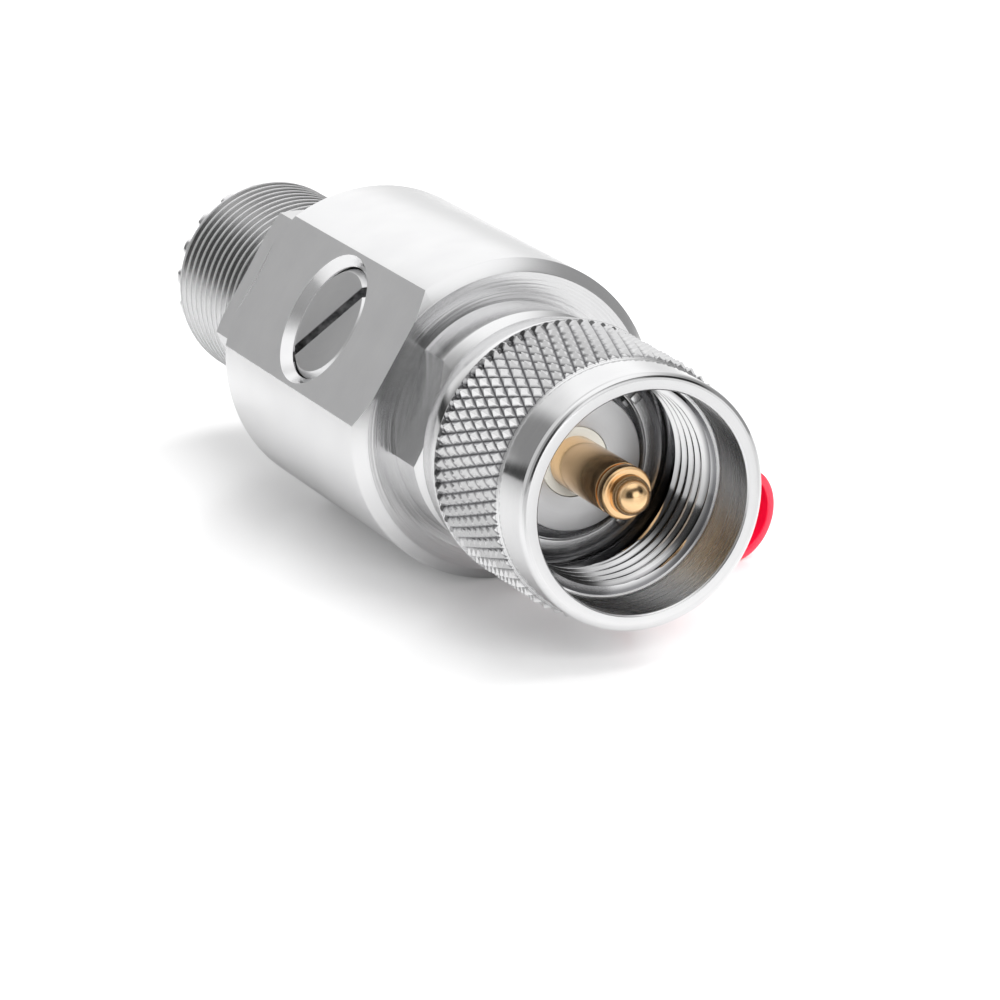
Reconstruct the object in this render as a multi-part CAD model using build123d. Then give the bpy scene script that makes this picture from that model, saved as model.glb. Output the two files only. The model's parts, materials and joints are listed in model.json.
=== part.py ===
"""Coaxial lightning arrestor, UHF plug to UHF socket, with its ground terminal.

Millimetres. X runs along the connector towards the plug, Z is up.
The origin is on the connector's axis, in the plane of the plug's flange face.
Angles about the connector run from +Y towards +Z.
"""
from build123d import *
from math import asin, cos, degrees, pi, radians, sin, sqrt
import os

# General clearances
SEAT_GAP = 0.02
THREAD_GAP = 0.10
CONTACT_GAP = 0.02

# Body
BODY_RADIUS = 12.25
BODY_FRONT = -10.4
BODY_LENGTH = 26.5
BODY_FRONT_CHAMFER = 0.9
BODY_REAR_CHAMFER_LENGTH = 1.2
BODY_REAR_CHAMFER_DEPTH = 0.9
CHAMBER_RADIUS = 6.6
CHAMBER_FRONT = -17.0
CHAMBER_REAR = -42.8

# Wrench hexagon behind the body
HEX_ACROSS_FLATS = 18.2
HEX_LENGTH = 5.3
HEX_CORNER_ANGLE = 118.5
HEX_CHAMFER = 0.55

# Socket end
SOCKET_THREAD_RADIUS = 7.9375
SOCKET_THREAD_LENGTH = 14.5
SOCKET_THREAD_CHAMFER = 0.45
SOCKET_BORE_RADIUS = 6.15
SOCKET_WEB = 1.7
SOCKET_WEB_BORE_RADIUS = 5.2
RIM_LENGTH = 1.2
RIM_RADIUS = 7.6
RIM_ROUND = 0.45
RIM_TEETH = 18
RIM_GAP_WIDTH = 0.96
RIM_GAP_DEPTH = 1.1
RIM_FIRST_TOOTH = 135.3
INSULATOR_DEPTH = 4.5

# Gas tube cap and its flat
CAP_ANGLE = 148.3
CAP_X = -23.4
FLAT_DEPTH = 1.37
CAP_RADIUS = 4.53
CAP_RECESS = 0.48
CAP_LENGTH = 3.5
CAP_EDGE = 0.43
CAP_LOWER_EDGE = 0.3
CAP_BORE_GAP = 0.09
CAP_MOUTH_RADIUS = 5.3
CAP_SLOT_WIDTH = 1.0
CAP_SLOT_DEPTH = 1.0
CAP_SLOT_ANGLE = 39.3
CAP_POCKET_RADIUS = 3.2
CAP_POCKET_DEPTH = 1.7
CAP_GROOVE_CENTRE = 1.25
CAP_GROOVE_FLOOR = 3.9
CAP_RING_SECTION = 0.3

# Gas tube
TUBE_CAP_GAP = 0.9
TUBE_RADIUS = 3.95
TUBE_DISC = 0.5
CERAMIC_LENGTH = 3.5
CERAMIC_BORE_RADIUS = 2.9
ELECTRODE_RADIUS = 1.6
ELECTRODE_STEM = 1.25
SPRING_RADIUS = 2.4
SPRING_WIRE = 0.25
SPRING_TURNS = 2.0

# Plug shell
FLANGE_RADIUS = 7.5
FLANGE_EDGE = 0.1
SHELL_SLEEVE_RADIUS = 7.52
BOSS_RADIUS = 6.0
BOSS_TOP_RADIUS = 5.15
BOSS_HEIGHT = 0.9
BOSS_GROOVE_WIDTH = 0.15
BOSS_GROOVE_DEPTH = 0.35
NECK_RADIUS = 9.24
NECK_LENGTH = 4.3
NECK_CHAMFER = 1.0
NECK_FLAT_HEIGHT = 8.3
NECK_FLAT_ANGLE = 162.9
SPIGOT_RADIUS = 7.0
SPIGOT_LENGTH = 6.1
TOOTH_COUNT = 4
TOOTH_FIRST = 38.2
TOOTH_WIDTH = 0.7
TOOTH_HEIGHT = 0.45
TOOTH_OUTER_RADIUS = 6.9

# Coupling nut
NUT_BACK = -5.13
NUT_BACK_RADIUS = 9.41
NUT_BACK_EDGE = 0.3
NUT_KNURL_RADIUS = 10.0
NUT_KNURL_BACK = -1.64
NUT_KNURL_FRONT = 8.0
NUT_COLLAR_RADIUS = 9.47
NUT_FRONT = 12.1
NUT_FRONT_CHAMFER = 0.37
NUT_MOUTH_RADIUS = 8.2
NUT_MOUTH_DEPTH = 4.6
NUT_THREAD_RADIUS = 7.4
NUT_THREAD_LENGTH = 5.9
NUT_RELIEF_LENGTH = 2.2
NUT_BORE_GAP = 0.08
NUT_PULL_BACK = 0.85
NUT_PUSH_FORWARD = 0.70

# Snap ring
SNAP_X = -2.6
SNAP_WIDTH = 0.9
SNAP_REACH = 0.48
SNAP_THICKNESS = 1.0
SNAP_END_GAP = 4.5
SNAP_FLOOR_GAP = 0.12

# Centre conductor
PIN_RADIUS = 1.95
PIN_SHOULDER = 9.5
PIN_EDGE = 0.15
PIN_NOSE_RADIUS = 1.45
PIN_NOSE_NECK = 0.4
PIN_GROOVE_DEPTH = 0.2
PIN_GROOVE_WIDTH = 0.3
PIN_GROOVE_SETBACK = 0.9
PIN_SHANK_RADIUS = 1.7
PIN_SHANK_DEPTH = 3.5
BLOCK_NOSE_RADIUS = 2.7
BLOCK_SHOULDER = -17.0
BLOCK_REAR = -30.0
BLOCK_RADIUS = 4.4
BLOCK_SEAT_MARGIN = 0.6
STUB_RADIUS = 1.2
STUB_LENGTH = 4.5
STUB_END_GAP = 0.3
CONTACT_RADIUS = 2.6
CONTACT_BORE_RADIUS = 2.0
CONTACT_BORE_LENGTH = 11.5
CONTACT_STICKOUT = 3.2
CONTACT_COLLAR_RADIUS = 3.4
CONTACT_SLOTS = 4
CONTACT_SLOT_WIDTH = 0.5
CONTACT_SLOT_LENGTH = 8.0
CONTACT_EDGE = 0.15
CONTACT_MOUTH_BEVEL = 0.2

# Insulators
BEAD_TUBE_RADIUS = 2.6
BEAD_RECESS = 0.05
BEAD_RADIUS = 5.0
BEAD_FRONT = -9.0
BEAD_REAR = -15.0

# Shell seal
SHELL_RING_SECTION = 0.55
SHELL_RING_SEAT_DEPTH = 1.1

# Ground screw and washers
GROUND_ANGLE = -31.7
GROUND_X = -26.0
SPOT_DEPTH = 0.95
SPOT_RADIUS = 5.2
SCREW_RADIUS = 2.0
SCREW_DEPTH = 3.7
SCREW_HOLE_EXTRA = 0.3
SCREW_HEAD_RADIUS = 3.5
SCREW_HEAD_HEIGHT = 2.4
SCREW_SLOT_WIDTH = 1.2
SCREW_SLOT_DEPTH = 1.1
SCREW_SLOT_ANGLE = 20
SCREW_EDGE = 0.3
WASHER_HOLE_GAP = 0.15
FLAT_WASHER_RADIUS = 4.5
FLAT_WASHER_THICKNESS = 0.9
TOOTH_WASHER_RADIUS = 4.0
TOOTH_WASHER_ROOT = 3.2
TOOTH_WASHER_THICKNESS = 0.9
TOOTH_WASHER_TEETH = 10
LOCK_WASHER_RADIUS = 3.6
LOCK_WASHER_THICKNESS = 1.0
LOCK_WASHER_SLIT = 0.5

# Ring terminal and its sleeve
TONGUE_THICKNESS = 0.8
TONGUE_RING_RADIUS = 4.3
TONGUE_WIDTH = 4.0
TONGUE_BEND = 4.6
BARREL_TILT = 15.0
BARREL_RADIUS = 2.2
BARREL_WALL = 0.5
BARREL_START = 0.3
BARREL_END = 9.5
BARREL_HEEL_ANGLE = 30
SLEEVE_REAR = 2.7
SLEEVE_MOUTH = 15.7
SLEEVE_REAR_RADIUS = 3.2
SLEEVE_MOUTH_RADIUS = 3.7
SLEEVE_WALL = 0.67
SLEEVE_FUNNEL = 2.2
SLEEVE_TAPER = 0.05
SLEEVE_EDGE = 0.3

# Stations that follow from the sizes
BODY_REAR = BODY_FRONT - BODY_LENGTH
HEX_REAR = BODY_REAR - HEX_LENGTH
THREAD_REAR = HEX_REAR - SOCKET_THREAD_LENGTH
RIM_REAR = THREAD_REAR - RIM_LENGTH
INSULATOR_REAR = RIM_REAR + INSULATOR_DEPTH
INSULATOR_FRONT = CHAMBER_REAR - SOCKET_WEB
NECK_FRONT = BODY_FRONT + NECK_LENGTH
SPIGOT_REAR = BODY_FRONT - SPIGOT_LENGTH
BEAD_FACE = BOSS_HEIGHT - BEAD_RECESS
FLAT_HEIGHT = BODY_RADIUS - FLAT_DEPTH
CAP_TOP = FLAT_HEIGHT - CAP_RECESS
CAP_BOTTOM = CAP_TOP - CAP_LENGTH
POCKET_TOP = CAP_BOTTOM + CAP_POCKET_DEPTH
CAP_BORE_RADIUS = CAP_RADIUS + CAP_BORE_GAP
TUBE_TOP = CAP_BOTTOM - TUBE_CAP_GAP
CERAMIC_TOP = TUBE_TOP - TUBE_DISC
CERAMIC_BOTTOM = CERAMIC_TOP - CERAMIC_LENGTH
TUBE_SEAT = CERAMIC_BOTTOM - TUBE_DISC
SHELL_RING_RADIUS = SPIGOT_RADIUS + SEAT_GAP + SHELL_RING_SECTION
SNAP_OUTER_RADIUS = SHELL_SLEEVE_RADIUS + SNAP_REACH
SNAP_INNER_RADIUS = SNAP_OUTER_RADIUS - SNAP_THICKNESS
SNAP_FRONT = SNAP_X + SNAP_WIDTH / 2
SNAP_BACK = SNAP_X - SNAP_WIDTH / 2
SPOT_HEIGHT = BODY_RADIUS - SPOT_DEPTH
TONGUE_HEIGHT = SPOT_HEIGHT + FLAT_WASHER_THICKNESS + TOOTH_WASHER_THICKNESS
BARREL_BORE_RADIUS = BARREL_RADIUS - BARREL_WALL
WASHER_HOLE_RADIUS = SCREW_RADIUS + WASHER_HOLE_GAP


def turned(*outline):
    """Solid of revolution about the connector's axis, from (x, radius) points."""
    return revolve(make_face(Polyline(*outline, close=True)), Axis.X)


def spun(*outline):
    """Solid of revolution about Z, from (radius, height) points."""
    section = make_face(Polyline(*outline, close=True))
    return revolve(Plane.XZ * section, Axis.Z)


def squeezed_section(centre, half):
    """Corners of a seal ring's section, round a centre, flattened where it is squeezed."""
    corners = []
    for index in range(8):
        angle = radians(22.5 + 45 * index)
        reach = half / cos(radians(22.5))
        corners.append((centre[0] + reach * cos(angle), centre[1] + reach * sin(angle)))
    return corners


def beside(x, angle):
    """Plane through the axis at x, its normal pointing sideways at the angle."""
    normal = (0, cos(radians(angle)), sin(radians(angle)))
    return Plane(origin=(x, 0, 0), x_dir=(1, 0, 0), z_dir=normal)


def station(x):
    """Plane across the axis at x: its own axes are +Y and +Z."""
    return Plane(origin=(x, 0, 0), x_dir=(0, 1, 0), z_dir=(1, 0, 0))


def flat_tool(front, rear, angle, height):
    """Block that mills a flat at a height above the axis between two stations."""
    block = Box(front - rear, 4 * BODY_RADIUS, BODY_RADIUS, align=(Align.MIN, Align.CENTER, Align.MIN))
    return beside(rear, angle) * Pos(0, 0, height) * block


def spring_coil(bottom, top):
    """Helical spring about Z between two heights."""
    rise = top - bottom - 2 * (SPRING_WIRE + SEAT_GAP)
    pitch = rise / SPRING_TURNS
    path = Helix(pitch, rise, SPRING_RADIUS)
    end = path @ 0
    section = Plane(origin=end, z_dir=path % 0) * Circle(SPRING_WIRE)
    coil = sweep(section, path=path, is_frenet=True)
    return Pos(0, 0, bottom + SPRING_WIRE + SEAT_GAP) * coil


def make_body():
    """Turned body with the hexagon, the socket's thread and the toothed rim."""
    # The turned surface starts and ends underneath, on the line that the body rests on
    body = Rot(-90, 0, 0) * turned(
        (BODY_FRONT, 0),
        (BODY_FRONT, BODY_RADIUS - BODY_FRONT_CHAMFER),
        (BODY_FRONT - BODY_FRONT_CHAMFER, BODY_RADIUS),
        (BODY_REAR + BODY_REAR_CHAMFER_LENGTH, BODY_RADIUS),
        (BODY_REAR, BODY_RADIUS - BODY_REAR_CHAMFER_DEPTH),
        (BODY_REAR, 0),
    )
    body -= flat_tool(BODY_FRONT + 1, BODY_REAR - 1, CAP_ANGLE, FLAT_HEIGHT)
    body += make_hexagon()
    body += turned(
        (BODY_REAR, 0),
        (BODY_REAR, SOCKET_THREAD_RADIUS),
        (THREAD_REAR + SOCKET_THREAD_CHAMFER, SOCKET_THREAD_RADIUS),
        (THREAD_REAR, SOCKET_THREAD_RADIUS - SOCKET_THREAD_CHAMFER),
        (THREAD_REAR, 0),
    )
    body += make_rim()
    body -= turned(
        (BODY_FRONT, 0),
        (BODY_FRONT, SHELL_RING_RADIUS + SHELL_RING_SECTION + SEAT_GAP),
        (BODY_FRONT - SHELL_RING_SEAT_DEPTH, SHELL_RING_RADIUS + SHELL_RING_SECTION + SEAT_GAP),
        (BODY_FRONT - SHELL_RING_SEAT_DEPTH, SPIGOT_RADIUS + SEAT_GAP),
        (CHAMBER_FRONT, SPIGOT_RADIUS + SEAT_GAP),
        (CHAMBER_FRONT, CHAMBER_RADIUS),
        (CHAMBER_REAR, CHAMBER_RADIUS),
        (CHAMBER_REAR, SOCKET_WEB_BORE_RADIUS),
        (INSULATOR_FRONT, SOCKET_WEB_BORE_RADIUS),
        (INSULATOR_FRONT, SOCKET_BORE_RADIUS),
        (RIM_REAR, SOCKET_BORE_RADIUS),
        (RIM_REAR, 0),
    )
    cap_hole = spun(
        (0, 0),
        (CAP_BORE_RADIUS, 0),
        (CAP_BORE_RADIUS, FLAT_HEIGHT - (CAP_MOUTH_RADIUS - CAP_BORE_RADIUS)),
        (CAP_MOUTH_RADIUS, FLAT_HEIGHT),
        (CAP_MOUTH_RADIUS, BODY_RADIUS),
        (0, BODY_RADIUS),
    )
    body -= beside(CAP_X, CAP_ANGLE) * cap_hole
    floor = SPOT_HEIGHT - SCREW_DEPTH - SCREW_HOLE_EXTRA
    ground_hole = spun(
        (0, floor),
        (SCREW_RADIUS + SEAT_GAP, floor),
        (SCREW_RADIUS + SEAT_GAP, SPOT_HEIGHT),
        (SPOT_RADIUS, SPOT_HEIGHT),
        (SPOT_RADIUS, BODY_RADIUS + 1),
        (0, BODY_RADIUS + 1),
    )
    return body - beside(GROUND_X, GROUND_ANGLE) * ground_hole


def make_hexagon():
    """Wrench hexagon with turned corners at both ends."""
    corner = HEX_ACROSS_FLATS / 2 / cos(pi / 6)
    outline = station(HEX_REAR) * Rot(0, 0, HEX_CORNER_ANGLE) * RegularPolygon(corner, 6)
    prism = extrude(outline, HEX_LENGTH)
    turning = turned(
        (BODY_REAR, 0),
        (BODY_REAR, corner - HEX_CHAMFER),
        (BODY_REAR - HEX_CHAMFER, corner),
        (HEX_REAR + HEX_CHAMFER, corner),
        (HEX_REAR, corner - HEX_CHAMFER),
        (HEX_REAR, 0),
    )
    return prism & turning


def make_rim():
    """Toothed end rim of the socket, with round-bottomed gaps between the teeth."""
    rim = turned(
        (THREAD_REAR, SOCKET_BORE_RADIUS),
        (THREAD_REAR, RIM_RADIUS),
        (RIM_REAR + RIM_ROUND, RIM_RADIUS),
        (RIM_REAR + RIM_ROUND * 0.29, RIM_RADIUS - RIM_ROUND * 0.29),
        (RIM_REAR, RIM_RADIUS - RIM_ROUND),
        (RIM_REAR, SOCKET_BORE_RADIUS),
    )
    half = RIM_GAP_WIDTH / 2
    bottom = RIM_REAR + RIM_GAP_DEPTH - half
    round_end = Cylinder(half, RIM_RADIUS, align=(Align.CENTER, Align.CENTER, Align.MIN))
    mouth = Box(RIM_GAP_DEPTH, RIM_GAP_WIDTH, RIM_RADIUS, align=(Align.MAX, Align.CENTER, Align.MIN))
    step = 360 / RIM_TEETH
    for index in range(RIM_TEETH):
        angle = RIM_FIRST_TOOTH + (index + 0.5) * step
        rim -= beside(bottom, angle) * Pos(0, 0, SOCKET_BORE_RADIUS / 2) * (round_end + mouth)
    return rim


def make_shell():
    """Plug shell: boss, flange, snap ring groove, neck with flats, screwed spigot."""
    groove_front = SNAP_FRONT + NUT_PUSH_FORWARD + SNAP_FLOOR_GAP
    groove_back = SNAP_BACK - NUT_PULL_BACK - SNAP_FLOOR_GAP
    groove_floor = SNAP_INNER_RADIUS - SNAP_FLOOR_GAP
    shell = turned(
        (BOSS_HEIGHT, BEAD_TUBE_RADIUS + SEAT_GAP),
        (BOSS_HEIGHT, BOSS_TOP_RADIUS),
        (BOSS_HEIGHT - (BOSS_RADIUS - BOSS_TOP_RADIUS), BOSS_RADIUS),
        (-BOSS_GROOVE_DEPTH, BOSS_RADIUS),
        (-BOSS_GROOVE_DEPTH, BOSS_RADIUS + BOSS_GROOVE_WIDTH),
        (0, BOSS_RADIUS + BOSS_GROOVE_WIDTH),
        (0, FLANGE_RADIUS - FLANGE_EDGE),
        (-FLANGE_EDGE, FLANGE_RADIUS),
        (groove_front, SHELL_SLEEVE_RADIUS),
        (groove_front, groove_floor),
        (groove_back, groove_floor),
        (groove_back, SHELL_SLEEVE_RADIUS),
        (NECK_FRONT, SHELL_SLEEVE_RADIUS),
        (NECK_FRONT, NECK_RADIUS - NECK_CHAMFER),
        (NECK_FRONT - NECK_CHAMFER, NECK_RADIUS),
        (BODY_FRONT, NECK_RADIUS),
        (BODY_FRONT, SPIGOT_RADIUS),
        (SPIGOT_REAR, SPIGOT_RADIUS),
        (SPIGOT_REAR, BEAD_RADIUS + SEAT_GAP),
        (BEAD_FRONT, BEAD_RADIUS + SEAT_GAP),
        (BEAD_FRONT, BEAD_TUBE_RADIUS + SEAT_GAP),
    )
    for angle in (NECK_FLAT_ANGLE, NECK_FLAT_ANGLE - 180):
        shell -= flat_tool(NECK_FRONT + 0.01, BODY_FRONT, angle, NECK_FLAT_HEIGHT)
    tooth_inner = BOSS_RADIUS + BOSS_GROOVE_WIDTH
    tooth = Box(
        TOOTH_HEIGHT,
        TOOTH_WIDTH,
        TOOTH_OUTER_RADIUS - tooth_inner,
        align=(Align.MIN, Align.CENTER, Align.MIN),
    )
    for index in range(TOOTH_COUNT):
        angle = TOOTH_FIRST + index * 360 / TOOTH_COUNT
        shell += beside(0, angle) * Pos(0, 0, tooth_inner) * tooth
    return shell


def make_nut():
    """Coupling nut: back collar, knurled band, smooth front collar, bores."""
    mouth_floor = NUT_FRONT - NUT_MOUTH_DEPTH
    thread_back = mouth_floor - NUT_THREAD_LENGTH
    relief_back = thread_back - NUT_RELIEF_LENGTH
    thread_top = NUT_MOUTH_RADIUS - NUT_THREAD_RADIUS
    bore = SHELL_SLEEVE_RADIUS + NUT_BORE_GAP
    ring_floor = SNAP_OUTER_RADIUS + THREAD_GAP
    return turned(
        (NUT_BACK, bore + NUT_BACK_EDGE),
        (NUT_BACK, NUT_BACK_RADIUS - NUT_BACK_EDGE),
        (NUT_BACK + NUT_BACK_EDGE, NUT_BACK_RADIUS),
        (NUT_KNURL_BACK, NUT_KNURL_RADIUS),
        (NUT_KNURL_FRONT, NUT_KNURL_RADIUS),
        (NUT_KNURL_FRONT, NUT_COLLAR_RADIUS),
        (NUT_FRONT - NUT_FRONT_CHAMFER, NUT_COLLAR_RADIUS),
        (NUT_FRONT, NUT_COLLAR_RADIUS - NUT_FRONT_CHAMFER),
        (NUT_FRONT, NUT_MOUTH_RADIUS),
        (mouth_floor, NUT_MOUTH_RADIUS),
        (mouth_floor - thread_top, NUT_THREAD_RADIUS),
        (thread_back, NUT_THREAD_RADIUS),
        (thread_back, NUT_MOUTH_RADIUS),
        (relief_back, NUT_MOUTH_RADIUS),
        (relief_back, bore),
        (SNAP_FRONT + SEAT_GAP, bore),
        (SNAP_FRONT + SEAT_GAP, ring_floor),
        (SNAP_BACK - SEAT_GAP, ring_floor),
        (SNAP_BACK - SEAT_GAP, bore),
        (NUT_BACK + NUT_BACK_EDGE, bore),
    )


def make_snap_ring():
    """Open wire ring that sits in the nut's groove and floats in the shell's."""
    ring = turned(
        (SNAP_BACK, SNAP_INNER_RADIUS),
        (SNAP_BACK, SNAP_OUTER_RADIUS),
        (SNAP_FRONT, SNAP_OUTER_RADIUS),
        (SNAP_FRONT, SNAP_INNER_RADIUS),
    )
    opening = Box(2 * SNAP_WIDTH, SNAP_END_GAP, 2 * SNAP_OUTER_RADIUS, align=(Align.CENTER, Align.CENTER, Align.MAX))
    return ring - Pos(SNAP_X, 0, 0) * opening


def make_pin():
    """Centre pin: shank through the bead, groove and shoulder, domed nose."""
    groove_front = PIN_SHOULDER - PIN_GROOVE_SETBACK
    groove_back = groove_front - PIN_GROOVE_WIDTH
    pin = turned(
        (BEAD_REAR - PIN_SHANK_DEPTH, 0),
        (BEAD_REAR - PIN_SHANK_DEPTH, PIN_SHANK_RADIUS),
        (BEAD_FACE, PIN_SHANK_RADIUS),
        (BEAD_FACE, PIN_RADIUS),
        (groove_back, PIN_RADIUS),
        (groove_back, PIN_RADIUS - PIN_GROOVE_DEPTH),
        (groove_front, PIN_RADIUS - PIN_GROOVE_DEPTH),
        (groove_front, PIN_RADIUS),
        (PIN_SHOULDER - PIN_EDGE, PIN_RADIUS),
        (PIN_SHOULDER, PIN_RADIUS - PIN_EDGE),
        (PIN_SHOULDER, 0),
    )
    nose_centre = PIN_SHOULDER + PIN_NOSE_NECK
    neck = Rot(0, 90, 0) * Cylinder(PIN_NOSE_RADIUS, 2 * PIN_NOSE_NECK)
    return pin + Pos(PIN_SHOULDER, 0, 0) * neck + Pos(nose_centre, 0, 0) * Sphere(PIN_NOSE_RADIUS)


def make_block():
    """Contact block: bore for the pin, stub for the socket, milled seat for the tube."""
    bore_end = BEAD_REAR - PIN_SHANK_DEPTH - STUB_END_GAP
    block = turned(
        (bore_end, 0),
        (bore_end, PIN_SHANK_RADIUS + CONTACT_GAP),
        (BEAD_REAR, PIN_SHANK_RADIUS + CONTACT_GAP),
        (BEAD_REAR, BLOCK_NOSE_RADIUS),
        (BLOCK_SHOULDER, BLOCK_NOSE_RADIUS),
        (BLOCK_SHOULDER, BLOCK_RADIUS),
        (BLOCK_REAR, BLOCK_RADIUS),
        (BLOCK_REAR, STUB_RADIUS),
        (BLOCK_REAR - STUB_LENGTH, STUB_RADIUS),
        (BLOCK_REAR - STUB_LENGTH, 0),
    )
    seat_front = CAP_X + TUBE_RADIUS + BLOCK_SEAT_MARGIN
    seat_rear = CAP_X - TUBE_RADIUS - BLOCK_SEAT_MARGIN
    return block - flat_tool(seat_front, seat_rear, CAP_ANGLE, TUBE_SEAT)


def make_contact():
    """Socket contact: slotted spring fingers, collar, bore for the block's stub."""
    mouth = INSULATOR_REAR - CONTACT_STICKOUT
    collar_front = INSULATOR_FRONT + SOCKET_WEB
    contact = turned(
        (mouth, CONTACT_BORE_RADIUS + CONTACT_MOUTH_BEVEL),
        (mouth, CONTACT_RADIUS - CONTACT_EDGE),
        (mouth + CONTACT_EDGE, CONTACT_RADIUS),
        (INSULATOR_FRONT, CONTACT_RADIUS),
        (INSULATOR_FRONT, CONTACT_COLLAR_RADIUS),
        (collar_front, CONTACT_COLLAR_RADIUS),
        (collar_front, CONTACT_RADIUS),
        (BLOCK_REAR, CONTACT_RADIUS),
        (BLOCK_REAR, STUB_RADIUS + CONTACT_GAP),
        (BLOCK_REAR - STUB_LENGTH - STUB_END_GAP, STUB_RADIUS + CONTACT_GAP),
        (BLOCK_REAR - STUB_LENGTH - STUB_END_GAP, 0),
        (mouth + CONTACT_BORE_LENGTH, 0),
        (mouth + CONTACT_BORE_LENGTH, CONTACT_BORE_RADIUS),
        (mouth + CONTACT_MOUTH_BEVEL, CONTACT_BORE_RADIUS),
    )
    slot = Box(
        CONTACT_SLOT_LENGTH,
        CONTACT_SLOT_WIDTH,
        CONTACT_RADIUS + 1,
        align=(Align.MIN, Align.CENTER, Align.MIN),
    )
    for index in range(CONTACT_SLOTS):
        contact -= beside(mouth, 45 + index * 360 / CONTACT_SLOTS) * slot
    return contact


def make_bead():
    """Plug insulator: thin tube round the pin, thick bead in the shell."""
    return turned(
        (BEAD_FACE, PIN_SHANK_RADIUS + SEAT_GAP),
        (BEAD_FACE, BEAD_TUBE_RADIUS),
        (BEAD_FRONT, BEAD_TUBE_RADIUS),
        (BEAD_FRONT, BEAD_RADIUS),
        (BEAD_REAR, BEAD_RADIUS),
        (BEAD_REAR, PIN_SHANK_RADIUS + SEAT_GAP),
    )


def make_socket_insulator():
    """Insulator disc of the socket, seated on the web inside the body."""
    return turned(
        (INSULATOR_REAR, CONTACT_RADIUS + SEAT_GAP),
        (INSULATOR_REAR, SOCKET_BORE_RADIUS - SEAT_GAP),
        (INSULATOR_FRONT, SOCKET_BORE_RADIUS - SEAT_GAP),
        (INSULATOR_FRONT, CONTACT_RADIUS + SEAT_GAP),
    )


def make_cap():
    """Slotted screw cap of the gas tube, with a ring groove and a spring pocket."""
    groove_centre = CAP_TOP - CAP_GROOVE_CENTRE
    groove_half = CAP_RING_SECTION + SEAT_GAP
    cap = spun(
        (0, POCKET_TOP),
        (CAP_POCKET_RADIUS, POCKET_TOP),
        (CAP_POCKET_RADIUS, CAP_BOTTOM),
        (CAP_RADIUS - CAP_LOWER_EDGE, CAP_BOTTOM),
        (CAP_RADIUS, CAP_BOTTOM + CAP_LOWER_EDGE),
        (CAP_RADIUS, groove_centre - groove_half),
        (CAP_GROOVE_FLOOR, groove_centre - groove_half),
        (CAP_GROOVE_FLOOR, groove_centre + groove_half),
        (CAP_RADIUS, groove_centre + groove_half),
        (CAP_RADIUS, CAP_TOP - CAP_EDGE),
        (CAP_RADIUS - CAP_EDGE, CAP_TOP),
        (0, CAP_TOP),
    )
    slot = Box(3 * CAP_RADIUS, CAP_SLOT_WIDTH, 2 * CAP_SLOT_DEPTH)
    cap -= Pos(0, 0, CAP_TOP) * Rot(0, 0, CAP_SLOT_ANGLE) * slot
    return beside(CAP_X, CAP_ANGLE) * cap


def make_cap_ring():
    """Seal ring in the cap's groove."""
    centre = (CAP_GROOVE_FLOOR + SEAT_GAP + CAP_RING_SECTION, CAP_TOP - CAP_GROOVE_CENTRE)
    return beside(CAP_X, CAP_ANGLE) * spun(*squeezed_section(centre, CAP_RING_SECTION))


def make_ceramic():
    """Ceramic body of the gas tube."""
    tube = spun(
        (CERAMIC_BORE_RADIUS, CERAMIC_BOTTOM),
        (TUBE_RADIUS, CERAMIC_BOTTOM),
        (TUBE_RADIUS, CERAMIC_TOP),
        (CERAMIC_BORE_RADIUS, CERAMIC_TOP),
    )
    return beside(CAP_X, CAP_ANGLE) * tube


def make_electrode(outer, inner):
    """End electrode of the gas tube: a disc between two heights and its stem."""
    direction = 1 if inner > outer else -1
    stem_end = inner + direction * ELECTRODE_STEM
    electrode = spun(
        (0, outer),
        (TUBE_RADIUS, outer),
        (TUBE_RADIUS, inner),
        (ELECTRODE_RADIUS, inner),
        (ELECTRODE_RADIUS, stem_end),
        (0, stem_end),
    )
    return beside(CAP_X, CAP_ANGLE) * electrode


def make_shell_ring():
    """Seal ring between the plug shell's neck and the body."""
    centre = (BODY_FRONT - SHELL_RING_SEAT_DEPTH / 2, SHELL_RING_RADIUS)
    return turned(*squeezed_section(centre, SHELL_RING_SECTION - SEAT_GAP))


def make_washer(bottom, thickness, radius):
    """Plain washer on the ground screw, from a height above the axis."""
    return spun(
        (WASHER_HOLE_RADIUS, bottom),
        (radius, bottom),
        (radius, bottom + thickness),
        (WASHER_HOLE_RADIUS, bottom + thickness),
    )


def make_tooth_washer(bottom):
    """Washer with teeth round its outside."""
    washer = make_washer(bottom, TOOTH_WASHER_THICKNESS, TOOTH_WASHER_RADIUS)
    depth = TOOTH_WASHER_RADIUS - TOOTH_WASHER_ROOT
    notch = Box(
        2 * depth,
        pi * TOOTH_WASHER_RADIUS / TOOTH_WASHER_TEETH,
        4 * TOOTH_WASHER_THICKNESS,
        align=(Align.MIN, Align.CENTER, Align.CENTER),
    )
    for index in range(TOOTH_WASHER_TEETH):
        turn = Rot(0, 0, index * 360 / TOOTH_WASHER_TEETH)
        washer -= turn * Pos(TOOTH_WASHER_ROOT, 0, bottom) * notch
    return washer


def make_lock_washer(bottom):
    """Split lock washer."""
    washer = make_washer(bottom, LOCK_WASHER_THICKNESS, LOCK_WASHER_RADIUS)
    slit = Box(
        2 * LOCK_WASHER_RADIUS,
        LOCK_WASHER_SLIT,
        4 * LOCK_WASHER_THICKNESS,
        align=(Align.MIN, Align.CENTER, Align.CENTER),
    )
    return washer - Pos(0, 0, bottom) * slit


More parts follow.
